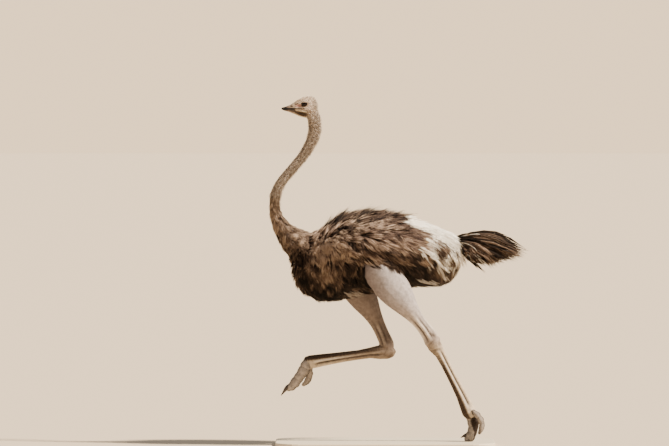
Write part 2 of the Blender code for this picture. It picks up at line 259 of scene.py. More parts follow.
fleshNodes = ["head", "neck_upper", "neck_middle", "neck_lower", "trunk", "wing_left", "wing_right", "tail",
              "thigh_left", "thigh_right", "shank_left", "shank_right", "tarsus_left", "tarsus_right",
              "toe_big_left", "toe_big_right", "toe_small_left", "toe_small_right"]
skinSettings = dict(
    voxel=0.0026, swell=0.0007, keptShare=0.062,
    # place and reach of each joint of the legs that runs into the next part without a step
    joints=[((0.254, -0.114, 0.548), 0.055), ((0.028, 0.112, 0.497), 0.055), ((0.455, -0.066, 0.162), 0.030),
            ((0.482, -0.100, 0.175), 0.022), ((-0.418, 0.066, 0.432), 0.030), ((-0.405, 0.100, 0.420), 0.022)],
    smoothness={"head": 0.0, "toe": 0.55, "neck": 1.0, "tarsus": 1.0},  # 2 on the rest
    coatDepth={"head": 0.0012, "neck_upper": 0.0035, "neck_middle": 0.0045, "neck_lower": 0.010, "trunk": 0.030,
               "wing_left": 0.034, "wing_right": 0.034, "tail": 0.030, "thigh_left": 0.004, "thigh_right": 0.004},
    detail={"toe": 0.75, "tarsus": 0.75, "shank": 0.5, "head": 1.0},  # where the triangles are kept
)


def nodeFinder():
    # one search tree over the flesh solids, with the node of each face
    points, faces, owner = [], [], []
    for number, name in enumerate(fleshNodes):
        bm = mergedCopy([name])
        start = len(points)
        points += [vert.co.copy() for vert in bm.verts]
        faces += [[vert.index + start for vert in face.verts] for face in bm.faces]
        owner += [number] * len(bm.faces)
        bm.free()
    return BVHTree.FromPolygons(points, faces), np.array(owner)


solidTree, solidOwner = nodeFinder()


def nodesNear(points):  # the name of the solid that each point belongs to
    owner = [solidOwner[solidTree.find_nearest(Vector(p))[2]] for p in points]
    return np.array(fleshNodes)[owner]


def nearJoint(points, place, reach):
    return np.exp(-np.sum((points - place) ** 2, 1) / reach ** 2)


def makeSkin():
    # the eyeballs fill their sockets here, and the lids are shaped over them later
    skin = objectFromBmesh("skin", mergedCopy(fleshNodes + ["eye_left", "eye_right"], skinSettings["swell"]))
    remeshed(skin, skinSettings["voxel"])
    print("skin remeshed:", len(skin.data.vertices))
    names = nodesNear(coordinates(skin.data))

    softer, soft, little = softened(skin, 110), softened(skin, 40), softened(skin, 8)
    amount = np.full((len(names), 1), 2.0)
    for start, weight in skinSettings["smoothness"].items():
        amount[starting(names, start)] = weight
    amount = blurred(skin, amount, 30)
    low = little + (soft - little) * np.clip(amount, 0, 1)
    points = low + (softer - low) * np.clip(amount - 1, 0, 1)
    rounder = blurred(skin, points, 60)
    joint = np.zeros(len(points))
    for place, reach in skinSettings["joints"]:
        joint = np.maximum(joint, nearJoint(points, place, reach))
    points = points + (rounder - points) * joint[:, None]
    setCoordinates(skin.data, points)
    outline = BVHTree.FromPolygons(points.tolist(), trianglesOf(skin.data).tolist())
    print("skin softened")

    depth = np.array([[skinSettings["coatDepth"].get(name, 0.0)] for name in names])
    depth = blurred(skin, depth, 120)
    points = points - normalsOf(skin.data) * (depth + skinSettings["swell"])
    # the stump of the tail is short and thin under its plumes
    core = np.array([0.0, 0.0, 1.046])
    thin = points * (1, 0.45, 0.45) + core * (0, 0, 0.55)
    thin[:, 0] = 0.36 + (points[:, 0] - 0.36) * 0.55
    isTail = blurred(skin, starting(names, "tail")[:, None] * 1.0, 20)
    points = points + (thin - points) * fade(points[:, 0], 0.36, 0.50)[:, None] * isTail
    setCoordinates(skin.data, points)
    return skin, names, outline


skin, skinNodes, outlineTree = makeSkin()

eyeSettings = dict(x=-0.4275, y=0.0225, z=1.8100, radius=0.0186, halfWidth=0.0140, halfHeight=0.0100,
                   lidHeight=0.0017, corneaReach=36, corneaRise=0.055)
mouthSettings = dict(z=1.7862, corner=-0.424, billBase=-0.482)
faceShapes = dict(
    # x and z of the middle, half width, half height and how far it stands out
    bumps=[(-0.432, 1.8245, 0.018, 0.0045, 0.0022),  # brow
           (-0.458, 1.8035, 0.014, 0.0065, -0.0035),  # hollow lore
           (-0.404, 1.7840, 0.016, 0.008, 0.0016)],  # cheek
    ear=(-0.389, 1.783, 0.0055, 0.0075),
)
legPaths = {  # middle lines from the top down
    "shank_left": [(0.020, -0.157, 0.865), (0.122, -0.143, 0.731), (0.170, -0.133, 0.670), (0.212, -0.124, 0.617),
                   (0.254, -0.114, 0.548)],
    "shank_right": [(-0.145, 0.155, 0.825), (-0.071, 0.142, 0.704), (-0.040, 0.132, 0.645), (-0.013, 0.122, 0.586),
                    (0.016, 0.111, 0.497)],
    "tarsus_left": [(0.254, -0.114, 0.548), (0.291, -0.107, 0.488), (0.345, -0.094, 0.383), (0.405, -0.080, 0.267),
                    (0.452, -0.072, 0.168)],
    "tarsus_right": [(0.040, 0.112, 0.496), (-0.080, 0.102, 0.488), (-0.210, 0.090, 0.469), (-0.345, 0.078, 0.449),
                     (-0.420, 0.072, 0.436)],
    "toe_big_left": [(0.453, -0.063, 0.168), (0.465, -0.061, 0.105), (0.460, -0.060, 0.074), (0.447, -0.060, 0.048),
                     (0.425, -0.060, 0.030)],
    "toe_big_right": [(-0.416, 0.063, 0.436), (-0.449, 0.061, 0.372), (-0.470, 0.060, 0.340), (-0.494, 0.060, 0.312),
                      (-0.520, 0.060, 0.290)],
    "toe_small_left": [(0.476, -0.106, 0.176), (0.498, -0.111, 0.152), (0.511, -0.112, 0.122), (0.512, -0.112, 0.085)],
    "toe_small_right": [(-0.404, 0.105, 0.422), (-0.400, 0.110, 0.392), (-0.402, 0.112, 0.361), (-0.437, 0.112, 0.316)],
}
legSettings = dict(scutePitch=0.0145, scalePitch=0.0095, seamWidth=0.0016, padPitch=0.028, jointPitch=0.036,
                   toeTaper=dict(left=0.0020, right=0.0032), heelPad=0.0085, knob=0.0055, knobWidth=0.012)


def thinned(made, keep, ratio):
    # fewer triangles where keep is 0, all of them where it is 1
    group = made.vertex_groups.new(name="thin")
    steps = np.round((1 - keep) * 4)
    for number in np.unique(steps):
        group.add(np.nonzero(steps == number)[0].tolist(), float(number) / 4, "REPLACE")
    modified(made, "DECIMATE", ratio=ratio, vertex_group="thin", vertex_group_factor=1.0)
    made.vertex_groups.clear()


def finerHead():
    bm = bmesh.new()
    bm.from_mesh(skin.data)
    bmesh.ops.triangulate(bm, faces=bm.faces)
    inHead = [edge for edge in bm.edges if min(v.co.z for v in edge.verts) > 1.742]
    bmesh.ops.subdivide_edges(bm, edges=inHead, cuts=1, use_grid_fill=True)
    inFace = [edge for edge in bm.edges if all(v.co.x < -0.400 and 1.770 < v.co.z < 1.834 for v in edge.verts)]
    bmesh.ops.subdivide_edges(bm, edges=inFace, cuts=1, use_grid_fill=True)
    bmesh.ops.triangulate(bm, faces=bm.faces)
    bm.to_mesh(skin.data)
    bm.free()
    skin.data.update()


def fromEye(points):
    # how far out from the eye's opening: 1 on the rim of the lids, with a flatter upper lid
    across = (points[:, 0] - eyeSettings["x"]) / eyeSettings["halfWidth"]
    up = points[:, 2] - eyeSettings["z"] + 0.0015 - 0.12 * (points[:, 0] - eyeSettings["x"])
    tall = np.where(up > 0, 0.92, 1.0) * eyeSettings["halfHeight"]
    return (np.abs(across) ** 2.3 + np.abs(up / tall) ** 2.3) ** (1 / 2.3), up > 0


def sculptHead(points, normals):
    x, z = points[:, 0], points[:, 2]
    side, out = np.sign(points[:, 1]), np.abs(points[:, 1])
    near = (z > 1.775) & (x < -0.38) & (out > 0.010)
    ring, upper = fromEye(points)
    flat = np.hypot(x - eyeSettings["x"], z - eyeSettings["z"])
    ball = eyeSettings["y"] + np.sqrt(np.maximum(eyeSettings["radius"] ** 2 - flat ** 2, 0))
    # the lids' edges stand over the eyeball, with two folds round them
    crest = ball + eyeSettings["lidHeight"] * np.where(upper, 1.25, 0.8)
    inner = np.minimum(ball - 0.0045, out)
    outer = np.maximum(out, crest + (out - crest) * fade(ring, 1.02, np.where(upper, 1.75, 1.55)))
    outer -= 0.0011 * ridge(ring, 1.30, 0.07) * np.where(upper, 1, 0.6) + 0.0007 * ridge(ring, 1.52, 0.07)
    shape = np.where(ring < 1.0, crest + (inner - crest) * fade(ring, 1.0, 0.90), outer)
    out = np.where(near & (ring < 2.2), shape, out)
    jaw = 0.0018 * ridge(z, 1.7775 - 0.11 * (x + 0.482), 0.0028) * fade(x, -0.490, -0.470) * fade(x, -0.405, -0.425)
    for *place, lift in faceShapes["bumps"]:
        jaw = jaw + lift * ridge(oval(points, *place), 0, 1)
    out = out + jaw * (out > 0.012)
    # the slit of the mouth between two lips
    gape = fade(x, mouthSettings["corner"] + 0.004, mouthSettings["corner"] - 0.006)
    away = np.abs(z - mouthSettings["z"])
    out = out + (0.0009 * ridge(away, 0.0030, 0.0016) - 0.0030 * ridge(away, 0, 0.0011)) * gape * (out > 0.010)
    # folds of loose skin down the throat, and a rim round the ear
    folds = np.sin((x * 0.55 - z) * 2 * math.pi / 0.0075)
    throat = fade(x, -0.400, -0.425) * fade(z, 1.778, 1.770)
    rim = 0.0010 * ridge(oval(points, *faceShapes["ear"]), 1.25, 0.35)
    points = points.copy()
    points[:, 1] = side * out
    return points + normals * (0.00035 * folds * throat + rim)[:, None]


def limbPlace(points, path):
    # along the limb in metres, the turn from its front in radians, the same on both sides, and the limb's length
    path = np.array(path)
    steps = path[1:] - path[:-1]
    lengths = np.linalg.norm(steps, axis=1)
    starts = np.concatenate([[0], np.cumsum(lengths)[:-1]])
    best = np.full(len(points), 1e9)
    along, turn = np.zeros(len(points)), np.zeros(len(points))
    for first, step, length, start in zip(path[:-1], steps, lengths, starts):
        t = np.clip(((points - first) @ step) / length ** 2, 0, 1)
        away = points - first - t[:, None] * step
        gap = np.linalg.norm(away, axis=1)
        closer = gap < best
        best = np.where(closer, gap, best)
        along = np.where(closer, start + t * length, along)
        turn = np.where(closer, np.arctan2(away[:, 1], away @ unit(np.array([step[2], 0.0, -step[0]]))), turn)
    return along, np.abs(turn), float(lengths.sum())


def wave(along, pitch, shift=0.0):
    return np.sin(along * math.pi / pitch + shift)


def shankRelief(along, turn, length):
    low = fade(along / length, 0.42, 0.75) * fade(length - along, 0.004, 0.050)
    grooves = low * (ridge(turn, 1.02, 0.15) + ridge(turn, 1.88, 0.16) + 0.6 * ridge(turn, 2.5, 0.2))
    heel = ridge(along, length - 0.038, 0.018) * ridge(turn, 2.25, 0.35)
    fold = ridge(along, length - 0.014 + 0.010 * np.cos(turn), 0.0060) * fade(turn, 0.2, 0.7) * fade(turn, 2.9, 2.2)
    seamAndCreaseShade = np.maximum.reduce([grooves, heel, 0.55 * fold])
    sinewHighlight = low * (ridge(turn, 0.55, 0.26) + ridge(turn, 1.45, 0.24) + 0.5 * ridge(turn, 2.95, 0.4))
    wrinkles = fade(along, length - 0.055, length - 0.015) * fade(length - along, 0.0, 0.012) * wave(along, 0.00425)
    lift = 0.0030 * sinewHighlight - 0.0042 * seamAndCreaseShade + 0.0007 * wrinkles * ridge(turn, 0, 1.1)
    return dict(lift=lift, seamAndCreaseShade=seamAndCreaseShade, sinewHighlight=sinewHighlight)


def scales(along, pitch, plate):
    # overlapping plates of one height: how far each stands out, and the seams between them
    part = (along / pitch) % 1
    seam = ridge(np.minimum(part, 1 - part) * pitch, 0, legSettings["seamWidth"])
    return plate * (0.0005 + 0.0009 * (part - 0.5) - 0.0011 * seam), plate * seam


def tarsusRelief(along, turn, length):
    plate = fade(turn, 1.45, 1.05)
    lift, seam = scales(along, legSettings["scutePitch"], plate)
    shaft = fade(along, 0.035, 0.08) * fade(length - along, 0.03, 0.07)
    groove = shaft * ridge(turn, 2.10, 0.24)
    fold = ridge(along, 0.040 - 0.012 * np.cos(turn), 0.0065) * fade(turn, 0.1, 0.5) * fade(turn, 2.6, 1.9)
    hollow = ridge(along, 0.016, 0.012) * ridge(turn, 2.55, 0.40)
    lift += 0.0020 * shaft * ridge(turn, 2.85, 0.5) - 0.0050 * groove + 0.0014 * shaft * ridge(turn, 1.50, 0.25)
    lift += 0.0008 * wave(along, 0.0040) * fade(along, 0.050, 0.015) - 0.0016 * fold
    seamAndCreaseShade = np.maximum.reduce([0.7 * seam * fade(along, 0.020, 0.070), groove, 0.60 * fold, 0.75 * hollow])
    plate = plate * (0.45 * fade(along, 0.0, 0.05) + 0.55 * fade(along, 0.05, 0.16))
    return dict(lift=lift, plate=plate, seamAndCreaseShade=seamAndCreaseShade, sinewHighlight=0.8 * shaft * ridge(turn, 1.62, 0.22))


def toeRelief(along, turn, length, name):
    plate = ridge(turn, 0, 0.8)
    lift, seam = scales(along, legSettings["scalePitch"], plate)
    rear = ridge(turn, math.pi, 0.80)
    pads, joints = wave(along, legSettings["padPitch"]), wave(along, legSettings["jointPitch"], 0.5)
    lift += 0.0034 * rear * (np.sqrt(np.abs(pads)) - 0.6) + 0.0026 * (np.abs(joints) - 0.6)
    seamAndCreaseShade = np.maximum.reduce([0.8 * seam, 0.8 * rear * ridge(pads, 0, 0.22), 0.42 * ridge(joints, 0, 0.14)])
    soleShade = np.maximum(rear, 0.8 * ridge(turn, math.pi, 0.45))
    if "big" in name:
        soleShade = rear
        lift -= legSettings["toeTaper"][name.split("_")[2]] * fade(along, length - 0.060, length - 0.005)
        lift += legSettings["heelPad"] * fade(turn, 1.6, 2.6) * fade(along, 0.0, 0.02) * fade(along, 0.090, 0.040)
    if name == "toe_big_left":  # the standing toe's painted shade reaches further up its rear
        start = line(along, [(0.0, 1.7), (0.03, 1.15), (0.06, 1.25), (0.09, 1.9), (0.12, 2.3)])
        soleShade = np.maximum(soleShade, fade(turn, start - 0.15, start + 0.20))
    return dict(lift=lift, plate=0.55 * plate, seamAndCreaseShade=seamAndCreaseShade, soleShade=soleShade)


def sculptLegs(points, names):
    # how far the legs and feet stand out, and the marks that go with it
    marks = {mark: np.zeros(len(points)) for mark in ("lift", "plate", "seamAndCreaseShade", "sinewHighlight", "soleShade")}
    for name, path in legPaths.items():
        mine = np.nonzero(names == name)[0]
        place = limbPlace(points[mine], path)
        if name.startswith("toe"):
            relief = toeRelief(*place, name)
        else:
            relief = shankRelief(*place) if name.startswith("shank") else tarsusRelief(*place)
        for mark, found in relief.items():
            marks[mark][mine] = found
    # the knob on the front of each ankle joint
    for x, z in ((0.222, 0.547), (0.060, 0.500)):
        knob = ridge(oval(points, x, z, legSettings["knobWidth"], legSettings["knobWidth"]), 0, 1)
        marks["lift"] += legSettings["knob"] * knob * starting(names, "shank", "tarsus")
    return marks


def detailSkin():
    keep = np.zeros(len(skinNodes))
    for start, share in skinSettings["detail"].items():
        keep[starting(skinNodes, start)] = share
    thinned(skin, keep, skinSettings["keptShare"])
    finerHead()
    points = coordinates(skin.data)
    names = nodesNear(points)
    normals = normalsOf(skin.data)
    points = sculptHead(points, normals)
    marks = sculptLegs(points, names)
    points += normals * (marks["lift"] * fade(points[:, 2], 0.030, 0.038))[:, None]  # flat on the ground
    setCoordinates(skin.data, points)
    print("skin detailed:", len(trianglesOf(skin.data)), "triangles")
    return names, marks


skinNames, legMarks = detailSkin()

# markings, shared by the skin and the coat

# How the feathers lie at places on the body: x, z, then degrees below straight back, unevenness in
# degrees, length, half width, lightness from 0 to 1, and ashiness from 0 to 1. The lightness holds painted
# light as well as the plumage's own tone: the rows low on the breast, front, flanks and rump are darker as
# painted shade under the body, and breastHigh is a painted highlight.
lay = {
    "neckMiddle": (-0.585, 1.330, 92, 14, 0.024, 0.0028, 0.80, 0.30),
    "neckLow": (-0.585, 1.250, 90, 16, 0.032, 0.0034, 0.82, 0.10),
    "neckBase": (-0.555, 1.170, 66, 18, 0.042, 0.0042, 0.80, 0.10),
    "neckRoot": (-0.500, 1.110, 52, 20, 0.050, 0.0048, 0.60, 0.15),
    "napeRoot": (-0.430, 1.130, 10, 14, 0.055, 0.0050, 0.64, 0.20),
    "napeTop": (-0.387, 1.155, -38, 12, 0.085, 0.0050, 0.22, 0.05),
    "napeWisp": (-0.335, 1.180, -38, 14, 0.095, 0.0050, 0.04, 0.0),
    "withers": (-0.300, 1.190, -26, 13, 0.100, 0.0052, 0.34, 0.05),
    "backFront": (-0.190, 1.230, -4, 14, 0.105, 0.0056, 0.25, 0.05),
    "backMiddle": (-0.030, 1.240, 3, 13, 0.110, 0.0060, 0.32, 0.25),
    "backRear": (0.100, 1.210, 12, 10, 0.105, 0.0062, 0.38, 0.50),
    "throatOfBreast": (-0.500, 1.000, 84, 24, 0.055, 0.0058, 0.10, 0.0),
    "breastFront": (-0.450, 0.890, 72, 24, 0.060, 0.0062, 0.10, 0.0),
    "breastHigh": (-0.340, 1.064, 60, 30, 0.062, 0.0064, 1.34, 1.0),
    "breastMiddle": (-0.318, 0.960, 78, 30, 0.066, 0.0064, 0.56, 0.10),
    "breastLow": (-0.318, 0.840, 58, 24, 0.066, 0.0062, 0.10, 0.0),
    "shoulder": (-0.212, 1.117, 30, 24, 0.075, 0.0064, 0.76, 0.20),
    "shoulderLow": (-0.212, 1.030, 52, 26, 0.070, 0.0064, 0.62, 0.15),
    "sideFront": (-0.150, 0.930, 76, 18, 0.080, 0.0064, -0.06, 0.0),
    "wingFront": (-0.080, 1.120, 20, 11, 0.100, 0.0078, 0.62, 0.45),
    "wingMiddle": (0.030, 1.110, 20, 10, 0.105, 0.0082, 0.62, 0.55),
    "wingEnd": (0.160, 1.120, 13, 7, 0.100, 0.0084, 0.44, 1.0),
    "flankTop": (0.000, 1.010, 36, 13, 0.120, 0.0072, 0.36, 0.10),
    "flankLow": (0.080, 0.940, 58, 14, 0.120, 0.0070, -0.02, 0.0),
    "flankEdge": (0.110, 0.870, 76, 14, 0.095, 0.0066, 0.10, 0.0),
    "rumpTop": (0.265, 1.130, 36, 9, 0.120, 0.0072, 0.70, 0.2),
    "rumpSide": (0.238, 1.010, 48, 12, 0.120, 0.0066, 0.50, 0.05),
    "rumpRear": (0.330, 1.064, 54, 10, 0.120, 0.0066, 0.60, 0.1),
    "rumpTip": (0.370, 0.960, 66, 12, 0.095, 0.0062, 0.40, 0.0),
    "rumpLow": (0.220, 0.905, 66, 14, 0.110, 0.0070, -0.22, 0.0),
    "rumpEdge": (0.330, 0.870, 88, 16, 0.080, 0.0062, 0.34, 0.0),
    "belly": (-0.053, 0.825, 20, 20, 0.050, 0.0056, 0.50, 0.0),
}
layTable = np.array(list(lay.values()))


def layAt(points):
    # the lay table blended over the body: direction in the mid-plane, then the five other values
    gap = points[:, None, [0, 2]] - layTable[None, :, :2]
    weight = 1 / (np.sum(gap * gap, 2) + 2.5e-4) ** 1.7
    weight /= weight.sum(1, keepdims=True)
    angle = np.radians(layTable[:, 2])
    direction = np.stack([weight @ np.cos(angle), np.zeros(len(points)), -(weight @ np.sin(angle))], 1)
    return unit(direction), weight @ layTable[:, 3:]


whiteSettings = dict(
    front=[(0.90, 0.310), (0.95, 0.245), (1.00, 0.190), (1.045, 0.145), (1.075, 0.155), (1.090, 0.185),
           (1.133, 0.200), (1.155, 0.130), (1.190, 0.070)],  # x of its front edge at each z
    under=[(0.10, 1.15), (0.18, 1.075), (0.29, 0.995), (0.355, 0.935), (0.45, 0.89)],  # z of its low edge at each x
    top=[(0.10, 1.200), (0.20, 1.170), (0.30, 1.135), (0.36, 1.100), (0.42, 1.040)],
    share=[(0.035, 1.0), (0.065, 0.66), (0.10, 0.42), (0.20, 0.28)],  # white clumps at each depth below the top
)


def whiteAt(points):
    # 1 on the white flight feathers that sweep round the rump, 0 elsewhere
    x, z = points[:, 0], points[:, 2]
    front, under = line(z, whiteSettings["front"]), line(x, whiteSettings["under"])
    return fade(x, front - 0.008, front + 0.008) * fade(z, under - 0.020, under + 0.020)


def whiteShare(points):
    # how many of the clumps are white: all along the top edge, fewer and fewer down the rump
    return line(line(points[:, 0], whiteSettings["top"]) - points[:, 2], whiteSettings["share"])


skinTones = dict(
    down="#9c8673", crown="#a8927a", lore="#a87d70", throat="#38291d", jaw="#d5c3a2", lip="#d9c8ba", lid="#1c120d",
    mouth="#0c0604", billBase="#8f7b69", chin="#33291f", neck="#8c7868", shadeUnderPlumes="#1a120b", shadeUnderWhite="#8a7a63",
    belly="#96795c", thigh="#9a918f", shank="#a6988d", front="#665a58", shaded="#6f5f53", sinewHighlight="#ddd2c4",
    seamAndCreaseShade="#231710", tarsus="#b5a48e", plate="#38281b", toe="#a3978c", soleShade="#241810",
)
shades = {name: np.array(linearRgb(colour)[:3]) for name, colour in skinTones.items()}


def paint(colour, shade, amount):
    return colour + (shade - colour) * np.clip(amount, 0, 1)[:, None]


def jawStripe(points):  # the pale line along the jaw, under the mouth
    x, z = points[:, 0], points[:, 2]
    stripe = ridge(z, 1.7810 - 0.20 * (x + 0.482), 0.0026 + 0.030 * (x + 0.482))
    return stripe * fade(x, -0.408, -0.424) * fade(x, -0.484, -0.464)


def bareBelly(points, wide, tall):  # a bare patch between the legs
    return oval(points, -0.075, 0.78, wide, tall)


def skinColours(points, normals, names):
    x, z = points[:, 0], points[:, 2]
    face = (names == "head") * 1.0
    plumed = starting(names, "trunk", "wing", "tail", "neck_lower")
    colour = np.repeat(shades["neck"][None], len(points), 0)
    for tone, amount in (
        # painted shade: the skin under the plumes is dark, and mid brown under the white ones, so that the gaps between
        # feathers read as shadow
        ("shadeUnderPlumes", plumed * fade(z, 1.36, 1.28)),
        ("shadeUnderWhite", plumed * whiteAt(points)),
        ("belly", fade(bareBelly(points, 0.12, 0.075), 1.15, 0.90) * (names == "trunk")),
        ("down", face),
        ("crown", face * fade(z, 1.800, 1.835)),
        ("thigh", starting(names, "thigh", "shank")),
        ("shank", starting(names, "shank") * fade(z, 0.80, 0.60)),
        ("tarsus", starting(names, "tarsus")),
        ("toe", starting(names, "toe")),
    ):
        colour = paint(colour, shades[tone], amount)
    colour = blurred(skin, colour, 12)

    legs = starting(names, "thigh", "shank", "tarsus")
    nearLeg = np.isin(names, ["thigh_left", "shank_left"])
    edge = line(z, [(0.64, 0.106), (0.783, -0.032), (0.926, -0.106)])
    for tone, amount in (
        # painted shade: the near leg darker along its front edge, and every leg darker where it faces forward
        ("front", 0.60 * nearLeg * fade(x - edge, 0.085, 0.005) * fade(z, 0.60, 0.68)),
        ("front", 0.55 * legs * fade(-normals[:, 0], 0.1, 0.9)),
        # the tendons and the side of the foot bone paler, partly their own tone and partly a painted highlight
        ("sinewHighlight", 0.85 * legMarks["sinewHighlight"]),
        # the scutes down the front of the foot bone dark, partly their own horn and partly painted shade along the
        # front edge
        ("plate", 0.97 * legMarks["plate"]),
        # painted shade on the rear and sole of the toes
        ("soleShade", legMarks["soleShade"]),
        # dark scale seams, and painted shade in the grooves and folds
        ("seamAndCreaseShade", legMarks["seamAndCreaseShade"]),
        *(("shaded", 0.72 * nearJoint(points, *joint)) for joint in skinSettings["joints"][:2]),
        # a little more painted shade over the near foot's toes
        ("soleShade", 0.22 * starting(names, "toe") * np.char.endswith(names, "_left")),
    ):
        colour = paint(colour, shades[tone], amount)
    # painted shade: the folded leg is greyer and darker down to the middle of its foot bone
    farLegShade = 0.85 * np.char.endswith(names, "_right") * legs * (1 - (names == "tarsus_right") * fade(x, -0.10, -0.34))
    colour = paint(colour, shades["shaded"] * (0.45 + 0.55 * colour / shades["shank"]), farLegShade)

    # the face: pink bare lore, brown throat that is pale below, pale jaw and lip, dark lids and mouth; the throat's
    # brown is partly painted shade under the jaw, and the brow line, the mouth line and the ear opening are dark as
    # painted shade
    under = fade(np.abs(points[:, 1]), 0.017, 0.009) * fade(x, -0.395, -0.420) * fade(z, 1.785, 1.775)
    brown = fade(x, -0.395, -0.425) * fade(z, 1.778, 1.768) * (0.7 + 0.3 * fade(x, -0.482, -0.455))
    corner = mouthSettings["corner"]
    for tone, amount in (
        ("billBase", fade(x, -0.462, -0.478)),
        ("chin", fade(x, -0.462, -0.479) * fade(z, 1.787, 1.785)),
        # the throat's brown, partly painted shade under the jaw
        ("throat", brown * (1 - 0.75 * under)),
        ("jaw", np.maximum(jawStripe(points), 0.45 * under)),
        ("lip", 0.75 * ridge(z, 1.7910, 0.0024) * fade(x, -0.402, -0.418) * fade(x, -0.484, -0.470)),
        ("lore", fade(oval(points, -0.457, 1.8010, 0.018, 0.0075), 1.2, 0.6)),
        # painted shade of the brow: a dark line over the lore in front of the eye
        ("lid", 0.9 * ridge(z, 1.8195 + 0.42 * (x + 0.447), 0.0024)
         * fade(x, -0.434, -0.442) * fade(x, -0.490, -0.478)),
        ("lid", fade(fromEye(points)[0], 1.32, 1.10) * (x < -0.39)),
        # painted shade in the slit of the mouth
        ("mouth", ridge(z, mouthSettings["z"], 0.0023) * fade(x, corner + 0.003, corner - 0.004)),
        # painted shade in the ear opening
        ("throat", 0.8 * fade(oval(points, *faceShapes["ear"]), 1.0, 0.6)),
    ):
        colour = paint(colour, shades[tone], face * amount)
    return colour


# coat

def tuftTemplate(rng, blades, rings, spread, breadth, shortest, keel=0.45):
    # one tuft in its own measures, across, along and up: a fan of closed blades, each drawn out to a point
    places, tones, faces = [], [], []
    aims = np.linspace(-1, 1, blades) * spread if blades > 1 else [0.0]
    for aim in rng.permutation(aims):
        start = rng.uniform(-0.35, 0.35)
        aim = aim + rng.uniform(-0.2, 0.2)
        length = rng.uniform(shortest, 1.0)
        height = rng.uniform(-0.25, 0.25)
        wide = breadth * rng.uniform(0.75, 1.25)
        bow = rng.uniform(-0.3, 0.3)
        first = len(places)
        for ring in range(rings + 1):
            t = ring / (rings + 1)
            middle = start + (aim - start) * t ** 1.3 + bow * math.sin(math.pi * t)
            half = wide * (0.55 + 0.9 * t) * (1 - 0.55 * t * t)
            for side, up in ((-1, 0), (1, 0), (0, keel)):
                places.append((middle + side * half, t * length, height * t + up * half))
        places.append((aim, length, height))
        tones += [rng.uniform(-1, 1)] * (3 * (rings + 1) + 1)
        faces.append((first, first + 1, first + 2))
        for ring in range(rings + 1):
            low = first + 3 * ring
            for i, j in ((0, 1), (1, 2), (2, 0)):
                if ring < rings:
                    faces += [(low + j, low + i, low + 3 + i), (low + j, low + 3 + i, low + 3 + j)]
                else:
                    faces.append((low + j, low + i, low + 3))
    return np.array(places), np.array(tones), np.array(faces)


def makeCoat(name, tufts, template, material, slotName, seed, variants=6):
    # tufts: root, bend, tip, up (points and directions), width, roll, tint, unwrap (root's place) and marks
    rng = np.random.default_rng(seed)
    kind = rng.integers(0, variants, len(tufts["root"]))
    spots, faces, patches, start = [], [], [], 0
    values = {mark: [] for mark in ("tint", "along", *tufts["marks"])}
    for variant in range(variants):
        places, tones, blades = tuftTemplate(rng, **template)
        mine = np.nonzero(kind == variant)[0]
        root, bend, tip, up = (tufts[key][mine][:, None] for key in ("root", "bend", "tip", "up"))
        t = places[None, :, 1, None]
        middle = (1 - t) ** 2 * root + 2 * t * (1 - t) * bend + t * t * tip
        along = unit(2 * (1 - t) * (bend - root) + 2 * t * (tip - bend))
        across = unit(np.cross(along, up))
        above = np.cross(across, along)
        roll, width = (tufts[key][mine][:, None, None] for key in ("roll", "width"))
        across, above = across * np.cos(roll) + above * np.sin(roll), above * np.cos(roll) - across * np.sin(roll)
        beside = (across * places[None, :, 0, None] + above * places[None, :, 2, None]) * width
        spots.append((middle + beside).reshape(-1, 3))
        faces.append((blades[None] + start + np.arange(len(mine))[:, None, None] * len(places)).reshape(-1, 3))
        start += len(mine) * len(places)
        values["tint"].append((tufts["tint"][mine][:, None] + 0.18 * tones[None]).reshape(-1))
        values["along"].append(np.tile(places[:, 1], len(mine)))
        for mark, found in tufts["marks"].items():
            values[mark].append(np.repeat(found[mine], len(places)))
        patch = np.stack([np.clip(places[:, 0], -1, 1), 2 * places[:, 1] - 1], 1) * 0.0015
        patches.append((tufts["unwrap"][mine][:, None] + patch[None]).reshape(-1, 2))
    spots, faces = np.concatenate(spots), np.concatenate(faces)
    mesh = bpy.data.meshes.new(name)
    mesh.vertices.add(len(spots))
    mesh.loops.add(faces.size)
    mesh.polygons.add(len(faces))
    mesh.loops.foreach_set("vertex_index", faces.astype(np.int32).reshape(-1))
    mesh.polygons.foreach_set("loop_start", np.arange(0, faces.size, 3, dtype=np.int32))
    mesh.vertices.foreach_set("co", spots.astype(np.float32).reshape(-1))
    mesh.update(calc_edges=True)
    for mark, found in values.items():
        addFloat(mesh, mark, np.concatenate(found))
    corners = np.concatenate(patches)[faces.reshape(-1)]
    mesh.uv_layers.new(name="OFBake").data.foreach_set("uv", corners.astype(np.float32).reshape(-1))
    mesh.shade_smooth()
    print(name, len(tufts["root"]), "tufts,", len(faces), "triangles")
    finishPiece(newObject(name, mesh), material, slotName)


skinPoints, skinNormals, skinTriangles = coordinates(skin.data), normalsOf(skin.data), trianglesOf(skin.data)


def sampleSkin(count, density, rng):
    # points spread over the skin by a density for each skin point, with their normals and solids
    edge = skinPoints[skinTriangles[:, 1:]] - skinPoints[skinTriangles[:, :1]]
    area = np.linalg.norm(np.cross(edge[:, 0], edge[:, 1]), axis=1) / 2
    total = np.cumsum(area * density[skinTriangles].mean(1))
    spots = (np.arange(count) + rng.uniform(0, 1, count)) / count * total[-1]
    corner = skinTriangles[np.minimum(np.searchsorted(total, spots), len(area) - 1)]
    a, b = rng.uniform(0, 1, (2, count))
    a, b = np.where(a + b > 1, 1 - a, a), np.where(a + b > 1, 1 - b, b)
    shares = np.stack([1 - a - b, a, b], 1)[:, :, None]
    points, normals = ((values[corner] * shares).sum(1) for values in (skinPoints, skinNormals))
    return points, unit(normals), skinNames[corner[:, 0]]


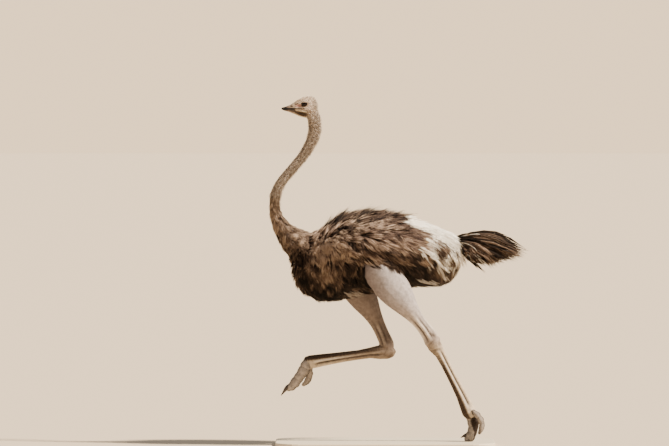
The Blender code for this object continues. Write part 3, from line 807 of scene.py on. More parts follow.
def turnedAbout(vectors, axes, angles):
    c, s = np.cos(angles)[:, None], np.sin(angles)[:, None]
    return vectors * c + np.cross(axes, vectors) * s + axes * np.sum(axes * vectors, 1, keepdims=True) * (1 - c)


def onTangent(vectors, normals):
    return unit(vectors - normals * np.sum(vectors * normals, 1, keepdims=True))


def underOutline(points, depth, overLeg=0.005):
    # the same points moved to a depth below the outer form, or a little above it over a leg
    moved, ups, overLegs = np.empty_like(points), np.empty_like(points), np.zeros(len(points), bool)
    for i, p in enumerate(points):
        near, normal = outlineTree.find_nearest(Vector(p))[:2]
        name = fleshNodes[solidOwner[solidTree.find_nearest(near)[2]]]
        overLegs[i] = name.startswith(("thigh", "shank"))
        moved[i] = near - normal * (-overLeg if overLegs[i] else depth[i])
        ups[i] = normal
    return moved, ups, overLegs


def clumpsOf(roots, size):
    # feathers hang together in clumps: the middle feather of each, each feather's clump, and a shared draw
    centres = np.arange(0, len(roots), size)
    finder = KDTree(len(centres))
    for number, centre in enumerate(centres):
        finder.insert(Vector(roots[centre]), number)
    finder.balance()
    clump = np.array([finder.find(Vector(root))[1] for root in roots])
    return centres, clump, lambda draw, first, second: draw(first, second, len(centres))[clump]


def layFeathers(roots, normals, length, turn, later, droop, under, depth, clumps, stay, gather):
    # each lies along the body from its root, then again from its bend, and its tip draws to those of its clump
    half = length[:, None] * 0.5
    way = turnedAbout(onTangent(layAt(roots)[0], normals), normals, turn)
    bends, ups, _ = underOutline(roots + way * half, under)
    way = turnedAbout(onTangent(layAt(bends)[0] + (0, 0, -droop), ups), ups, turn * later)
    tips, ups, overLeg = underOutline(bends + way * half, depth)
    centres, clump = clumps
    gathered = tips[centres][clump] + (roots - roots[centres][clump]) * stay
    return bends, tips + (gathered - tips) * gather, ups, overLeg


def aroundTurn(up, across):  # a turn round the body or neck as a share of the unwrap
    return 0.02 + 0.96 * (np.arctan2(across, up) / (2 * math.pi) + 0.5)


def trunkUnwrap(points):
    along = np.interp(points[:, 0], [-0.65, 0.80], [0.02, 0.98])
    return np.stack([along, aroundTurn(points[:, 2] - 1.0, points[:, 1])], 1)


def plumeTufts(roots, bends, tips, ups, rng, width, tint, ash, white, roll=0.25, narrowest=0.75, unwrap=trunkUnwrap):
    count = len(roots)
    marks = {name: np.broadcast_to(value, count).astype(float) for name, value in (("ash", ash), ("white", white))}
    return dict(root=roots, bend=bends, tip=tips, up=unit(ups), width=width * rng.uniform(narrowest, 1.25, count),
                roll=rng.normal(0, roll, count), tint=tint, unwrap=unwrap(roots), marks=marks)


def chosenTufts(tufts, mine):
    part = {key: found[mine] for key, found in tufts.items() if key != "marks"}
    part["marks"] = {key: found[mine] for key, found in tufts["marks"].items()}
    return part


bodySettings = dict(tufts=15500, pieces="ABCD", seed=11, clump=9, gather=0.52, wisps=0.34, streaks=0.16,
                    template=dict(blades=5, rings=1, spread=0.95, breadth=0.30, shortest=0.6))
legFringe = [(-0.110, 0.950), (-0.050, 0.960), (0.000, 0.938), (0.030, 0.926), (0.053, 0.918), (0.099, 0.908),
             (0.137, 0.872)]  # x and z of the edge where the coat ends over the leg


def makeBodyCoat(material):
    rng = np.random.default_rng(bodySettings["seed"])
    count = bodySettings["tufts"]
    density = starting(skinNames, "trunk") + 2.2 * starting(skinNames, "neck_lower") + 0.8 * starting(skinNames, "wing")
    density += starting(skinNames, "thigh") * fade(skinPoints[:, 2], 0.975, 0.985)
    density *= 1 + 0.5 * fade(skinPoints[:, 0], -0.10, -0.25)
    density *= 1 - fade(bareBelly(skinPoints, 0.11, 0.07), 1.15, 0.95)
    roots, normals, names = sampleSkin(count, density, rng)
    x, z = roots[:, 0], roots[:, 2]
    centres, clump, shared = clumpsOf(roots, bodySettings["clump"])

    mess, length, width, tone, ash = layAt(roots)[1].T
    turn = np.radians(mess) * (0.80 * shared(rng.normal, 0, 1) + 0.45 * rng.normal(0, 1, count))
    length = length * shared(rng.uniform, 0.85, 1.2) * rng.uniform(0.8, 1.15, count)
    depth = shared(rng.uniform, -0.003, 0.015) + rng.uniform(-0.003, 0.003, count)
    depth *= 1 - 0.6 * (names == "neck_lower")
    # sunk clumps are painted darker, as painted shade between the raised ones
    tint = tone + 0.04 + shared(rng.normal, 0, 0.22) + rng.normal(0, 0.09, count) - 13.0 * np.maximum(depth, 0)
    # low on the front, the breast is lightened where it faces forward, taking back part of the lay table's painted
    # shade
    tint += 0.24 * fade(-normals[:, 0], 0.75, 0.95) * fade(z, 1.08, 1.00)
    # loose dark wisps stand off the back
    back = (z > 1.13) & (x < 0.02) & (x > -0.42) & (np.abs(roots[:, 1]) < 0.12)
    wisp = back & (shared(rng.uniform, 0, 1) < bodySettings["wisps"]) & (rng.uniform(0, 1, count) < 0.5)
    depth = depth - 0.009 * fade(z, 1.10, 1.18) * fade(x, 0.12, 0.02) * fade(x, -0.42, -0.36)
    depth = np.where(wisp, rng.uniform(-0.040, -0.014, count), depth)
    tint = np.where(wisp, tint - 0.60, tint)
    length = np.where(wisp, length * 1.3, length)
    under, gather = 0.55 * np.maximum(depth, 0) + 0.010, bodySettings["gather"] * ~wisp[:, None]
    bends, tips, ups, overLeg = layFeathers(roots, normals, length, turn, 1.3, 0.10, under, depth, (centres, clump),
                                            0.4, gather)
    # over the leg they end in a fringe
    edge = line(tips[:, 0], legFringe) + shared(rng.normal, 0, 0.011) + rng.normal(0, 0.005, count)
    short = overLeg & (tips[:, 2] < edge)
    share = np.where(short, np.clip((z - edge) / np.maximum(z - tips[:, 2], 1e-4), 0.25, 1), 1.0)[:, None]
    tips, bends = roots + (tips - roots) * share, roots + (bends - roots) * share
    chosen = roots + (tips - roots) * 0.3
    white = whiteAt(chosen) * (shared(rng.uniform, 0, 1) < whiteShare(chosen))
    # some hang longer, finer and of another tone, and draw the coat out in streaks
    streak = rng.uniform(0, 1, count) < bodySettings["streaks"]
    width = np.where(streak, width * 0.6, width)
    tint = np.where(streak, tint + rng.choice([-0.26, 0.30], count), tint)
    tufts = plumeTufts(roots, bends, tips, normals + ups, rng, width * 1.15, tint, ash, white, roll=0.35, narrowest=0.8)
    kept = np.nonzero(~short | (share[:, 0] > 0.5))[0]
    parts = np.array_split(kept[np.argsort(x[kept])], len(bodySettings["pieces"]))
    for number, (letter, mine) in enumerate(zip(bodySettings["pieces"], parts)):
        makeCoat("bodyFeathers" + letter, chosenTufts(tufts, mine), bodySettings["template"], material, "plumage",
                 bodySettings["seed"] + number)


quillSettings = dict(tufts=1460, seed=31, length=0.200, width=0.0100, clump=12, gather=0.35,
                     template=dict(blades=7, rings=2, spread=1.0, breadth=0.24, shortest=0.6))
# Pale plumes that lie over the darker ones: start x and z, end x and z, spread, how many, and whiteness.
paleStreaks = [
    (0.160, 1.080, 0.300, 0.980, 0.018, 20, 0.80), (0.225, 1.030, 0.352, 0.905, 0.005, 20, 0.95),
    (0.185, 1.050, 0.262, 0.905, 0.014, 9, 0.45), (0.150, 0.874, 0.300, 0.850, 0.007, 26, 0.40),
    (0.320, 1.100, 0.412, 0.935, 0.020, 26, 0.90), (0.262, 0.975, 0.338, 0.862, 0.016, 26, 0.42),
    (-0.235, 0.806, -0.080, 0.790, 0.014, 40, 0.20),
]


def fromSide(places):  # the outer form met from the side at each x and z
    hits = [outlineTree.ray_cast(Vector(p), Vector((0, -p[1], 0)))[0] for p in places]
    return np.array([hit or outlineTree.find_nearest(Vector(p))[0] for hit, p in zip(hits, places)])


def makeStreaks(rng):
    tree = BVHTree.FromPolygons(skinPoints.tolist(), skinTriangles.tolist())
    starts, ends, white, ways = [], [], [], []
    for x0, z0, x1, z1, spread, count, whiteness in paleStreaks:
        step = np.array([x1 - x0, z1 - z0])
        across = np.array([-step[1], step[0]]) / np.linalg.norm(step)
        for side in (-1, 1):
            for share in rng.uniform(0, 0.55, count):
                start = np.array([x0, z0]) + step * share + across * rng.normal(0, 0.5) * spread
                end = start + step * rng.uniform(0.38, 0.50) + across * rng.normal(0, 0.2) * spread
                starts.append((start[0], side * 0.60, start[1]))
                ends.append((end[0], side * 0.60, end[1]))
                white.append(whiteness * rng.uniform(0.8, 1.0))
                ways.append((step[0], 0, step[1]))
    starts, ends, count = fromSide(starts), fromSide(ends), len(white)
    roots = np.array([tree.find_nearest(Vector(p))[0] for p in starts])
    bends = underOutline((starts + ends) / 2, np.full(count, -0.002))[0]
    tips, ups, overLeg = underOutline(ends, rng.uniform(-0.003, 0.003, count))
    overLeg |= underOutline(starts, np.zeros(count))[2]
    streaks = plumeTufts(roots, bends, tips, ups, rng, 0.0046, 0.60 + rng.normal(0, 0.12, count), 0.0, white)
    return chosenTufts(streaks, ~overLeg & (np.sum(unit(tips - roots) * unit(np.array(ways)), 1) > 0.8))


def makeQuills(material):
    # the long soft flight feathers: white from under the wing round the rump, brown and cream below them
    rng = np.random.default_rng(quillSettings["seed"])
    count = quillSettings["tufts"]
    x, z = skinPoints[:, 0], skinPoints[:, 2]
    density = starting(skinNames, "trunk", "wing") * fade(x, 0.03, 0.12) * fade(x, 0.40, 0.30)
    density *= fade(z, 0.88, 0.96) * (0.45 + 0.55 * whiteAt(skinPoints + (0.05, 0, -0.02)))
    roots, normals, _ = sampleSkin(count, density, rng)
    centres, clump, shared = clumpsOf(roots, quillSettings["clump"])
    length = quillSettings["length"] * rng.uniform(0.7, 1.2, count) * (1 - 0.35 * fade(roots[:, 0], 0.20, 0.33))
    turn = np.radians(5) * (shared(rng.normal, 0, 1) + 0.5 * rng.normal(0, 1, count))
    sink = shared(rng.uniform, -0.004, 0.008) + rng.uniform(-0.002, 0.002, count)
    bends, tips, ups, overLeg = layFeathers(roots, normals, length, turn, 1.0, 0.18, np.full(count, 0.010), sink,
                                            (centres, clump), 0.45, quillSettings["gather"])
    chosen = roots + (tips - roots) * 0.35
    white = whiteAt(chosen + rng.normal(0, 0.006, (count, 3))) * (shared(rng.uniform, 0, 1) < whiteShare(chosen))
    tint = np.where(white > 0.5, 0.72, layAt(tips)[1][:, 3]) + shared(rng.normal, 0, 0.12) + rng.normal(0, 0.08, count)
    quills = plumeTufts(roots, bends, tips, ups, rng, quillSettings["width"], tint, 0.1, white)
    quills, streaks = chosenTufts(quills, ~overLeg), makeStreaks(rng)
    tufts = {key: np.concatenate([quills[key], streaks[key]]) for key in quills if key != "marks"}
    tufts["marks"] = {key: np.concatenate([quills["marks"][key], streaks["marks"][key]]) for key in quills["marks"]}
    makeCoat("flightFeathers", tufts, quillSettings["template"], material, "wing_plumage", quillSettings["seed"])


tailSettings = dict(
    tufts=1150, seed=41, width=0.0105, halfThick=0.070, farthest=0.792, stump=(0.375, 0.0, 1.046),
    template=dict(blades=7, rings=3, spread=1.05, breadth=0.34, shortest=0.66, keel=0.35),
    # where the plumes end, from the topmost round to the lowest, and how high each arches on the way
    ends=[(0.780, 1.022), (0.760, 1.004), (0.722, 0.990), (0.705, 0.968), (0.665, 0.966), (0.635, 0.948),
          (0.600, 0.944), (0.565, 0.955), (0.530, 0.958), (0.495, 0.968), (0.465, 0.985)],
    arch=[(0.0, 0.165), (0.2, 0.170), (0.4, 0.165), (0.6, 0.150), (0.8, 0.115), (1.0, 0.060)],
    strands=[(0.545, -0.020, 0.905), (0.530, -0.012, 0.912), (0.505, 0.015, 0.925), (0.520, -0.030, 0.935)],
)


def makeTail(material):
    # soft plumes that spring from the stump, arch over and droop
    rng = np.random.default_rng(tailSettings["seed"])
    count = tailSettings["tufts"]
    stump = np.array(tailSettings["stump"])
    place = rng.uniform(0, 1, count) ** 1.05
    ends = np.array(tailSettings["ends"])
    steps = np.linspace(0, 1, len(ends))
    thick = rng.uniform(-1, 1, count)
    tips = np.stack([np.interp(place, steps, ends[:, 0]), np.zeros(count), np.interp(place, steps, ends[:, 1])], 1)
    inside = 0.50 * rng.uniform(0, 1, count) ** 1.35
    tips = tips + (stump - tips) * inside[:, None]
    sideways = thick * tailSettings["halfThick"] * (0.55 + 0.3 * place)
    tips += np.stack([rng.normal(0, 0.012, count), sideways, rng.normal(0, 0.010, count)], 1)
    tips[:, 0] = np.minimum(tips[:, 0], tailSettings["farthest"])
    rise = rng.uniform(0.0, 1.0, count) ** 0.6
    roots = stump + np.stack([rng.uniform(-0.01, 0.03, count), thick * 0.030, 0.058 * rise - 0.040 * place], 1)
    arch = line(place, tailSettings["arch"]) * rise * (1 - inside) * np.sqrt(np.maximum(1 - 0.55 * thick ** 2, 0))
    bends = (roots + tips) / 2 + np.stack([0.03 * place, thick * 0.045, arch], 1)
    # a few long strands hang clear
    loose = slice(len(tailSettings["strands"]))
    roots[loose], tips[loose] = (0.400, -0.012, 1.010), tailSettings["strands"]
    bends[loose] = (roots[loose] + tips[loose]) / 2 + (0.012, 0, 0.006)
    outward = np.stack([np.full(count, 0.1), thick * 1.5, 0.2 + arch * 4], 1)
    tint = 0.40 + rng.normal(0, 0.16, count) - 0.25 * (arch < 0.03)
    tint -= 0.20 * fade(tips[:, 0], 0.64, 0.74) + 0.22 * inside
    white = (rng.uniform(0, 1, count) < 0.05) * 0.35
    tufts = plumeTufts(roots, bends, tips, outward, rng, tailSettings["width"], tint, 0.0, white, roll=0.5)
    tufts["width"][loose] *= 0.35
    tufts["tint"][loose] = 0.0
    makeCoat("tailPlumes", tufts, tailSettings["template"], material, "tail_plumage", tailSettings["seed"])


neckPath = np.array([
    (-0.383, 1.757), (-0.374, 1.710), (-0.3745, 1.660), (-0.391, 1.610), (-0.428, 1.545), (-0.478, 1.483),
    (-0.528, 1.426), (-0.566, 1.371), (-0.585, 1.313), (-0.585, 1.252), (-0.567, 1.190), (-0.527, 1.128),
    (-0.470, 1.074), (-0.405, 1.030)])  # middle line of the neck, x and z, from the head down
downSeed = 51
neckDownSettings = dict(tufts=13000, seed=52, length=0.0115, shortest=0.7, mess=0.35, steepest=0.62, width=0.0044,
                        template=dict(blades=3, rings=0, spread=1.0, breadth=0.17, shortest=0.6))
headDownSettings = dict(tufts=8500, seed=53, length=0.0070, shortest=0.6, mess=0.30, steepest=0.60, width=0.0019,
                        template=dict(blades=3, rings=0, spread=0.75, breadth=0.18, shortest=0.6))


def aboveNape(points):  # how far above the line where the head's short down gives way to the neck's
    return points[:, 2] - 1.738 - 1.056 * (points[:, 0] + 0.411)


def neckWay(points):
    # downwards along the neck
    middle, step = (neckPath[1:] + neckPath[:-1]) / 2, unit(neckPath[1:] - neckPath[:-1])
    gap = np.sum((points[:, None, [0, 2]] - middle[None]) ** 2, 2)
    weight = 1 / (gap + 1e-4) ** 2
    flow = (weight / weight.sum(1, keepdims=True)) @ step
    return np.stack([flow[:, 0], np.zeros(len(points)), flow[:, 1]], 1)


def neckUnwrap(points):
    nearest = np.argmin(np.sum((points[:, None, [0, 2]] - neckPath[None]) ** 2, 2), 1)
    along = np.interp(points[:, 2], [1.0, 1.9], [0.02, 0.98])
    return np.stack([along, aroundTurn(points[:, 0] - neckPath[nearest, 0], points[:, 1])], 1)


def sampleDown(settings, density, wayAt, rng):
    roots, normals, _ = sampleSkin(settings["tufts"], density, rng)
    way = turnedAbout(onTangent(wayAt(roots), normals), normals, rng.normal(0, settings["mess"], len(roots)))
    length = settings["length"] * rng.uniform(settings["shortest"], 1.3, len(roots))
    return roots, normals, way, length, rng.uniform(0.20, settings["steepest"], len(roots))


def growDown(name, settings, roots, normals, way, length, stand, tint, ash, white, material, rng):
    bends = roots + normals * (0.65 * stand * length)[:, None] + way * (0.4 * length)[:, None]
    tips = roots + normals * (stand * length)[:, None] + way * length[:, None]
    tufts = plumeTufts(roots, bends, tips, normals, rng, settings["width"], tint, ash, white, unwrap=neckUnwrap)
    makeCoat(name, tufts, settings["template"], material, "neck_down", settings["seed"])


def headWay(roots):
    back = np.maximum(fade(roots[:, 0], -0.400, -0.365), 0.5 * fade(roots[:, 2], 1.785, 1.770))[:, None]
    return np.array([[1.0, 0, -0.15]]) * (1 - back) + np.array([[0.15, 0, -1.0]]) * back


def makeDown(material):
    rng = np.random.default_rng(downSeed)
    high = aboveNape(skinPoints)
    x, z = skinPoints[:, 0], skinPoints[:, 2]
    head = skinNames == "head"
    isNeck = starting(skinNames, "neck_upper", "neck_middle") | head & (high < 0.02) & (x > -0.43)
    isNeck |= (skinNames == "neck_lower") & (z > 1.285)
    roots, normals, way, length, stand = sampleDown(neckDownSettings, isNeck * fade(high, 0.018, -0.010), neckWay, rng)
    high, behind = aboveNape(roots), normals[:, 0]
    length = length * (1 + 0.5 * fade(roots[:, 2], 1.40, 1.30)) * (1 - 0.45 * fade(high, -0.050, 0.010))
    length *= 1 + 0.25 * fade(behind, 0.3, 0.9)
    stand *= 1 + 0.5 * fade(behind, 0.3, 0.9)
    # the down on the back of the neck is lighter, a painted highlight of the light from behind
    tint = 0.54 + rng.normal(0, 0.27, len(roots)) + 0.22 * fade(behind, 0.4, 0.9) + 0.16 * fade(high, -0.045, 0.010)
    growDown("neckDown", neckDownSettings, roots, normals, way, length, stand, tint, fade(roots[:, 2], 1.28, 1.36), 0.0,
             material, rng)

    # none on the bill, the lids, the lore and the mouth
    density = (head | (skinNames == "neck_upper")) * fade(aboveNape(skinPoints), -0.028, 0.006)
    density *= fade(x, -0.480, -0.455) * fade(fromEye(skinPoints)[0], 1.30, 1.60)
    density *= fade(oval(skinPoints, -0.457, 1.8010, 0.020, 0.0085), 0.9, 1.4)
    density *= 1 - 0.9 * ridge(z, mouthSettings["z"], 0.004) * (x < mouthSettings["corner"])
    density *= 0.35 + 0.65 * fade(z, 1.770, 1.790)
    roots, normals, way, length, stand = sampleDown(headDownSettings, density, headWay, rng)
    (x, y, z), behind = roots.T, normals[:, 0]
    length *= 0.50 + 0.50 * fade(z + 0.35 * (x + 0.43), 1.795, 1.825) + 0.90 * fade(behind, 0.2, 0.9)
    tint = 0.82 + rng.normal(0, 1, len(roots)) * (0.12 + 0.16 * fade(x, -0.43, -0.39)) - 0.08 * fade(z, 1.80, 1.83)
    brown = fade(z, 1.782, 1.772) * fade(x, -0.40, -0.43) * (1 - jawStripe(roots))
    # the back of the head is lighter as a painted highlight of the light from behind; the throat's down is darker,
    # partly painted shade under the jaw, but not on its underside
    tint += 0.22 * fade(behind, 0.4, 0.9) - 0.85 * brown * fade(np.abs(y), 0.009, 0.017)
    tint += 0.16 * ridge(oval(roots, -0.392, 1.775, 0.022, 0.022), 0, 1)
    growDown("headDown", headDownSettings, roots, normals, way, length, stand, tint, 1.0, 0.25 * fade(z, 1.79, 1.83),
             material, rng)


# Loose hen's plumage: dull, soft, warm brown barbs with paler worn ends, ashier in places, and white quill feathers.
plumageLooks = dict(
    along=0.30, noises=[(16.0, 3.0, 0.55), (420.0, 2.0, 0.35)], less=0.60, roughness=0.80, specular=0.12,
    tones=dict(base=[(0.0, "#0c0805"), (0.28, "#2a201a"), (0.58, "#5c4b3f"), (1.0, "#a6917f")],
               ash=[(0.0, "#413330"), (0.28, "#483934"), (0.58, "#614e46"), (1.0, "#948071")],
               white=[(0.05, "#a08560"), (0.45, "#fffaf0")]))
# Short hair-like down on the neck and head: pinkish grey, each tuft dark at the foot and pale at the tip.
downLooks = dict(
    along=0.35, noises=[(90.0, 3.0, 1.30)], less=0.82, roughness=0.8, specular=0.25,
    tones=dict(base=[(0.0, "#1d140d"), (0.5, "#5c4733"), (1.0, "#a48b70")],
               ash=[(0.0, "#453931"), (0.5, "#ab998a"), (1.0, "#eadccb")]))


def makeFeatherMaterial(name, looks):
    # a tuft's own tint, lighter towards the tip and in patches, picks its place on each ramp of tones
    material, tree, shader, place = newMaterial(name)
    light, along = (addNode(tree, "Attribute", attribute_name=mark).outputs["Fac"] for mark in ("tint", "along"))
    parts = [(along, looks["along"])]
    for scale, detail, share in looks["noises"]:
        noise = addNode(tree, "TexNoise", {"Vector": place, "Scale": scale, "Detail": detail})
        parts.append((noise.outputs["Fac"], share))
    for part, share in parts:
        light = addNode(tree, "Math", {0: part, 1: share, 2: light}, operation="MULTIPLY_ADD").outputs[0]
    light = addNode(tree, "Math", {0: light, 1: looks["less"]}, operation="SUBTRACT").outputs[0]
    for mark, stops in looks["tones"].items():
        tone = addNode(tree, "ValToRGB", {"Fac": light}, stops=stops).outputs["Color"]
        if mark != "base":
            share = addNode(tree, "Attribute", attribute_name=mark).outputs["Fac"]
            tone = addNode(tree, "Mix", {"Factor": share, 6: colour, 7: tone}, data_type="RGBA").outputs[2]
        colour = tone
    feed(tree, shader, {"Base Color": colour, "Roughness": looks["roughness"], "Specular IOR Level": looks["specular"]})
    return material


def plainMaterial(name, dark, light, roughness, scale, bump, strength=0.3):
    # two tones mixed by a noise of a set size, with the same noise as fine relief
    material, tree, shader, place = newMaterial(name)
    noise = addNode(tree, "TexNoise", {"Vector": place, "Scale": scale, "Detail": 4.0}).outputs["Fac"]
    tone = addNode(tree, "ValToRGB", {"Fac": noise}, stops=[(0.35, dark), (0.65, light)])
    relief = addNode(tree, "Bump", {"Strength": strength, "Distance": bump, "Height": noise})
    feed(tree, shader, {"Base Color": tone.outputs["Color"], "Normal": relief.outputs["Normal"],
                        "Roughness": roughness, "Specular IOR Level": 0.5})
    return material


# eyes and lashes

def makeEye(side):
    radius = eyeSettings["radius"]
    bm = bmesh.new()
    bmesh.ops.create_uvsphere(bm, u_segments=64, v_segments=48, radius=radius)
    axis = Vector((0, 0, 1))
    for vert in bm.verts:
        tilt = math.degrees(vert.co.angle(axis)) / eyeSettings["corneaReach"]
        if tilt < 1:  # the cornea stands a little proud
            vert.co *= 1 + eyeSettings["corneaRise"] * (1 - tilt ** 2)
    fromAxis = [math.hypot(vert.co.x, vert.co.y) if vert.co.z > 0 else radius for vert in bm.verts]
    spoke = [math.cos(9 * math.atan2(vert.co.y, vert.co.x)) for vert in bm.verts]
    turn = axis.rotation_difference(Vector((-0.20, side, 0.04)).normalized())
    bmesh.ops.rotate(bm, verts=bm.verts, matrix=turn.to_matrix())
    bmesh.ops.translate(bm, verts=bm.verts, vec=(eyeSettings["x"], side * eyeSettings["y"], eyeSettings["z"]))
    eye = objectFromBmesh("eyeLeft" if side < 0 else "eyeRight", bm)
    addFloat(eye.data, "fromAxis", fromAxis)
    addFloat(eye.data, "spoke", spoke)
    return eye


def makeEyeMaterial():
    # wet dark brown eye: black pupil, deep brown iris with faint spokes, near-black rim, clear cornea over it
    material, tree, shader, place = newMaterial("wetEye")
    wavy, spoke = (addNode(tree, "Attribute", attribute_name=name).outputs["Fac"] for name in ("fromAxis", "spoke"))
    speck = addNode(tree, "TexNoise", {"Vector": place, "Scale": 900.0, "Detail": 3.0}).outputs["Fac"]
    for part, share in ((speck, 0.0012), (spoke, 0.0003)):
        wavy = addNode(tree, "Math", {0: part, 1: share, 2: wavy}, operation="MULTIPLY_ADD").outputs[0]
    share = addNode(tree, "Math", {0: wavy, 1: 0.016}, operation="DIVIDE").outputs[0]
    stops = [(0.0, "#030202"), (0.38, "#030202"), (0.42, "#28160b"), (0.58, "#1e1008"), (0.66, "#0d0704"),
             (1.0, "#1e120d")]
    tone = addNode(tree, "ValToRGB", {"Fac": share}, stops=stops)
    feed(tree, shader, {"Base Color": tone.outputs["Color"], "Roughness": 0.4, "Specular IOR Level": 0.05,
                        "Coat Weight": 0.45, "Coat IOR": 1.34, "Coat Roughness": 0.03})
    return material


lashSettings = dict(
    width=0.00055, seed=61, coatSeed=62, reach=0.92,
    template=dict(blades=1, rings=1, spread=0.0, breadth=1.0, shortest=0.9, keel=1.6),
    # how many, how long, up or down, how tall the opening is, lift off it and droop
    rows=[(34, 0.0155, 1, 0.92, 0.0006, -0.36), (16, 0.0055, -1, 1.0, -0.0012, -0.30)])


def makeLashes(material):
    rng = np.random.default_rng(lashSettings["seed"])
    roots, bends, tips = [], [], []
    for side in (-1, 1):
        for count, longest, top, tall, lift, droop in lashSettings["rows"]:
            for share in np.linspace(-lashSettings["reach"], lashSettings["reach"], count):
                dx = share * eyeSettings["halfWidth"]
                dz = top * (1 - abs(share) ** 2.3) ** (1 / 2.3) * eyeSettings["halfHeight"] * tall
                dz += -0.0015 + 0.12 * dx + lift
                ball = eyeSettings["y"] + math.sqrt(max(eyeSettings["radius"] ** 2 - dx * dx - dz * dz, 0))
                root = np.array([eyeSettings["x"] + dx, side * (ball + 0.0012), eyeSettings["z"] + dz])
                out = unit(np.array([0.75 * share - 0.20, side * 0.90, 0.10 * top]) + rng.normal(0, 0.10, 3))
                length = longest * rng.uniform(0.75, 1.1) * (1 - 0.35 * share * share)
                roots.append(root)
                bends.append(root + out * length * 0.55)
                tips.append(root + out * length * 0.8 + np.array([0.25 * share - 0.1, 0, droop]) * length)
    count, roots = len(roots), np.array(roots)
    tufts = dict(root=roots, bend=np.array(bends), tip=np.array(tips), up=np.tile((0.0, 0.0, 1.0), (count, 1)),
                 width=np.full(count, lashSettings["width"]), roll=np.zeros(count), tint=rng.uniform(0, 1, count),
                 unwrap=neckUnwrap(roots), marks={})
    makeCoat("lashes", tufts, lashSettings["template"], material, "neck_down", lashSettings["coatSeed"], variants=2)


# bill and claws

hornSettings = dict(billVoxel=0.0007, billSoft=14, clawVoxel=0.0008, clawSoft=12, overlap=0.0045,
                    nostril=(-0.496, 1.7985, 0.008, 0.0028))


def makeHorn(name, nodeName, voxel, soften, base=None):
    bm = mergedCopy([nodeName])
    if base is not None:  # runs on a little into the face, so that no gap shows
        for vert in bm.verts:
            if vert.co.x > base - 0.0012:
                vert.co.x += hornSettings["overlap"]
    made = remeshed(objectFromBmesh(name, bm), voxel)
    places = softened(made, soften)
    if base is not None:  # smoother between the tip and the base
        middle = fade(places[:, :1], -0.542, -0.520) * fade(places[:, :1], -0.483, -0.490)
        places = places + (softened(made, soften * 9) - places) * middle
    setCoordinates(made.data, places)
    return made


def makeBillMaterial():
    # keratin sheath: satin, streaked along the bill, dark at the tip and along the cutting edge; the dark of the
    # cutting edge, the nostril and the lower bill's top is partly painted shade
    material, tree, shader, place = newMaterial("billHorn")
    dark = addNode(tree, "Attribute", attribute_name="dark").outputs["Fac"]
    stretched = addNode(tree, "Mapping", {"Vector": place, "Scale": (90.0, 700.0, 700.0)}).outputs[0]
    streaks = addNode(tree, "TexNoise", {"Vector": stretched, "Scale": 1.0, "Detail": 3.0}).outputs["Fac"]
    amount = addNode(tree, "Math", {0: streaks, 1: 0.35, 2: dark}, operation="MULTIPLY_ADD").outputs[0]
    tone = addNode(tree, "ValToRGB", {"Fac": amount}, stops=[(0.15, "#b39f86"), (0.5, "#67554a"), (1.0, "#0d0806")])
    relief = addNode(tree, "Bump", {"Strength": 0.4, "Distance": 0.0004, "Height": streaks})
    feed(tree, shader, {"Base Color": tone.outputs["Color"], "Normal": relief.outputs["Normal"],
                        "Roughness": 0.55, "Specular IOR Level": 0.30})
    return material


def makeBill(material):
    for name, nodeName, close in (("billUpper", "bill_upper", -0.4), ("billLower", "bill_lower", 0.6)):
        bill = makeHorn(name, nodeName, hornSettings["billVoxel"], hornSettings["billSoft"], mouthSettings["billBase"])
        points = coordinates(bill.data)
        x, y, z = points.T
        closing = 0.0012 * fade(np.abs(z - mouthSettings["z"]), 0.0045, 0.0) * fade(x, -0.5495, -0.5440)
        culmen = 0.0006 * fade(z, 1.795, 1.803) * ridge(y, 0, 0.004) * (nodeName == "bill_upper")
        points[:, 2] += culmen + close * closing
        setCoordinates(bill.data, points)
        # dark at the tip, and along the mouth's slit as painted shade
        dark = 0.22 + 0.80 * fade(x, -0.505, -0.540) + 0.85 * ridge(z, mouthSettings["z"], 0.0030)
        # painted shade in the nostril
        dark += 0.7 * fade(oval(points, *hornSettings["nostril"]), 1.2, 0.7) - 0.10 * fade(x, -0.500, -0.484)
        if nodeName == "bill_lower":  # dark on top, partly painted shade under the upper bill, and paler on its underside
            down = -normalsOf(bill.data)[:, 2]
            dark += 0.36 + 0.16 * fade(x, -0.515, -0.484) - 0.50 * fade(down, 0.45, 0.80) * fade(x, -0.545, -0.520)
        addFloat(bill.data, "dark", dark)
        finishPiece(bill, material, "bill_horn", nodeName)


def makeClaws(material):
    for side in ("left", "right"):
        claw = makeHorn("claw" + side.capitalize(), "claw_" + side, hornSettings["clawVoxel"], hornSettings["clawSoft"])
        finishPiece(claw, material, "claw_horn", "claw_" + side)


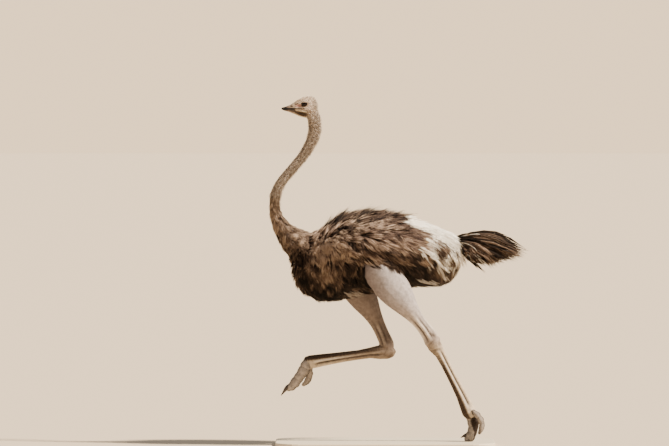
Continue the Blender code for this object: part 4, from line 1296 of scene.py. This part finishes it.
def makeSkinMaterial():
    # dry bare skin over muscle and shank: fine pimples where feathers are missing, mottled and matt
    material, tree, shader, place = newMaterial("bareSkin")
    colour = addNode(tree, "Attribute", attribute_name="skinColour").outputs["Color"]
    mottle = addNode(tree, "TexNoise", {"Vector": place, "Scale": 60.0, "Detail": 4.0}).outputs["Fac"]
    pores = addNode(tree, "TexVoronoi", {"Vector": place, "Scale": 260.0}).outputs["Distance"]
    wrinkles = addNode(tree, "TexNoise", {"Vector": place, "Scale": 520.0, "Detail": 3.0}).outputs["Fac"]
    sockets = ("Value", "From Min", "From Max", "To Min", "To Max")
    level, spots = (addNode(tree, "MapRange", dict(zip(sockets, values))).outputs[0]
                    for values in ((mottle, 0.3, 0.7, 0.72, 1.14), (pores, 0.0, 0.5, 0.80, 1.05)))
    both = addNode(tree, "Math", {0: level, 1: spots}, operation="MULTIPLY").outputs[0]
    shaded = addNode(tree, "VectorMath", {0: colour, "Scale": both}, operation="SCALE").outputs[0]
    height = addNode(tree, "Math", {0: wrinkles, 1: 0.5, 2: pores}, operation="MULTIPLY_ADD").outputs[0]
    relief = addNode(tree, "Bump", {"Strength": 0.5, "Distance": 0.0009, "Height": height})
    feed(tree, shader, {"Base Color": shaded, "Normal": relief.outputs["Normal"],
                        "Roughness": 0.70, "Specular IOR Level": 0.18})
    return material


plumage = makeFeatherMaterial("ostrichPlumage", plumageLooks)
makeBodyCoat(plumage)
makeQuills(plumage)
makeTail(plumage)
makeDown(makeFeatherMaterial("neckDown", downLooks))
makeLashes(plainMaterial("lashBristle", "#0d0806", "#1c130e", 0.5, 300.0, 0.0001))  # stiff dark bristle feathers

colours = np.ones((len(skinPoints), 4), np.float32)
colours[:, :3] = skinColours(skinPoints, skinNormals, skinNames)
skin.data.attributes.new("skinColour", "FLOAT_COLOR", "POINT").data.foreach_set("color", colours.reshape(-1))
finishPiece(skin, makeSkinMaterial(), "bare_skin", *fleshNodes)

eyeMaterial = makeEyeMaterial()
for side, sideName in ((-1, "left"), (1, "right")):
    finishPiece(makeEye(side), eyeMaterial, "eye", "eye_" + sideName)
makeBill(makeBillMaterial())
makeClaws(plainMaterial("clawHorn", "#1a120d", "#4a392c", 0.45, 260.0, 0.0006))  # blunt worn horn
print("head and feet finished")

# stand: medium-density board sprayed a satin sand colour, with the faint stipple of a roller

sandPaint = plainMaterial("sandPaint", "#c9bba3", "#d3c6b0", 0.55, 420.0, 0.0005, strength=0.25)
for slot in solids["stand_base"].material_slots:
    slot.material = sandPaint
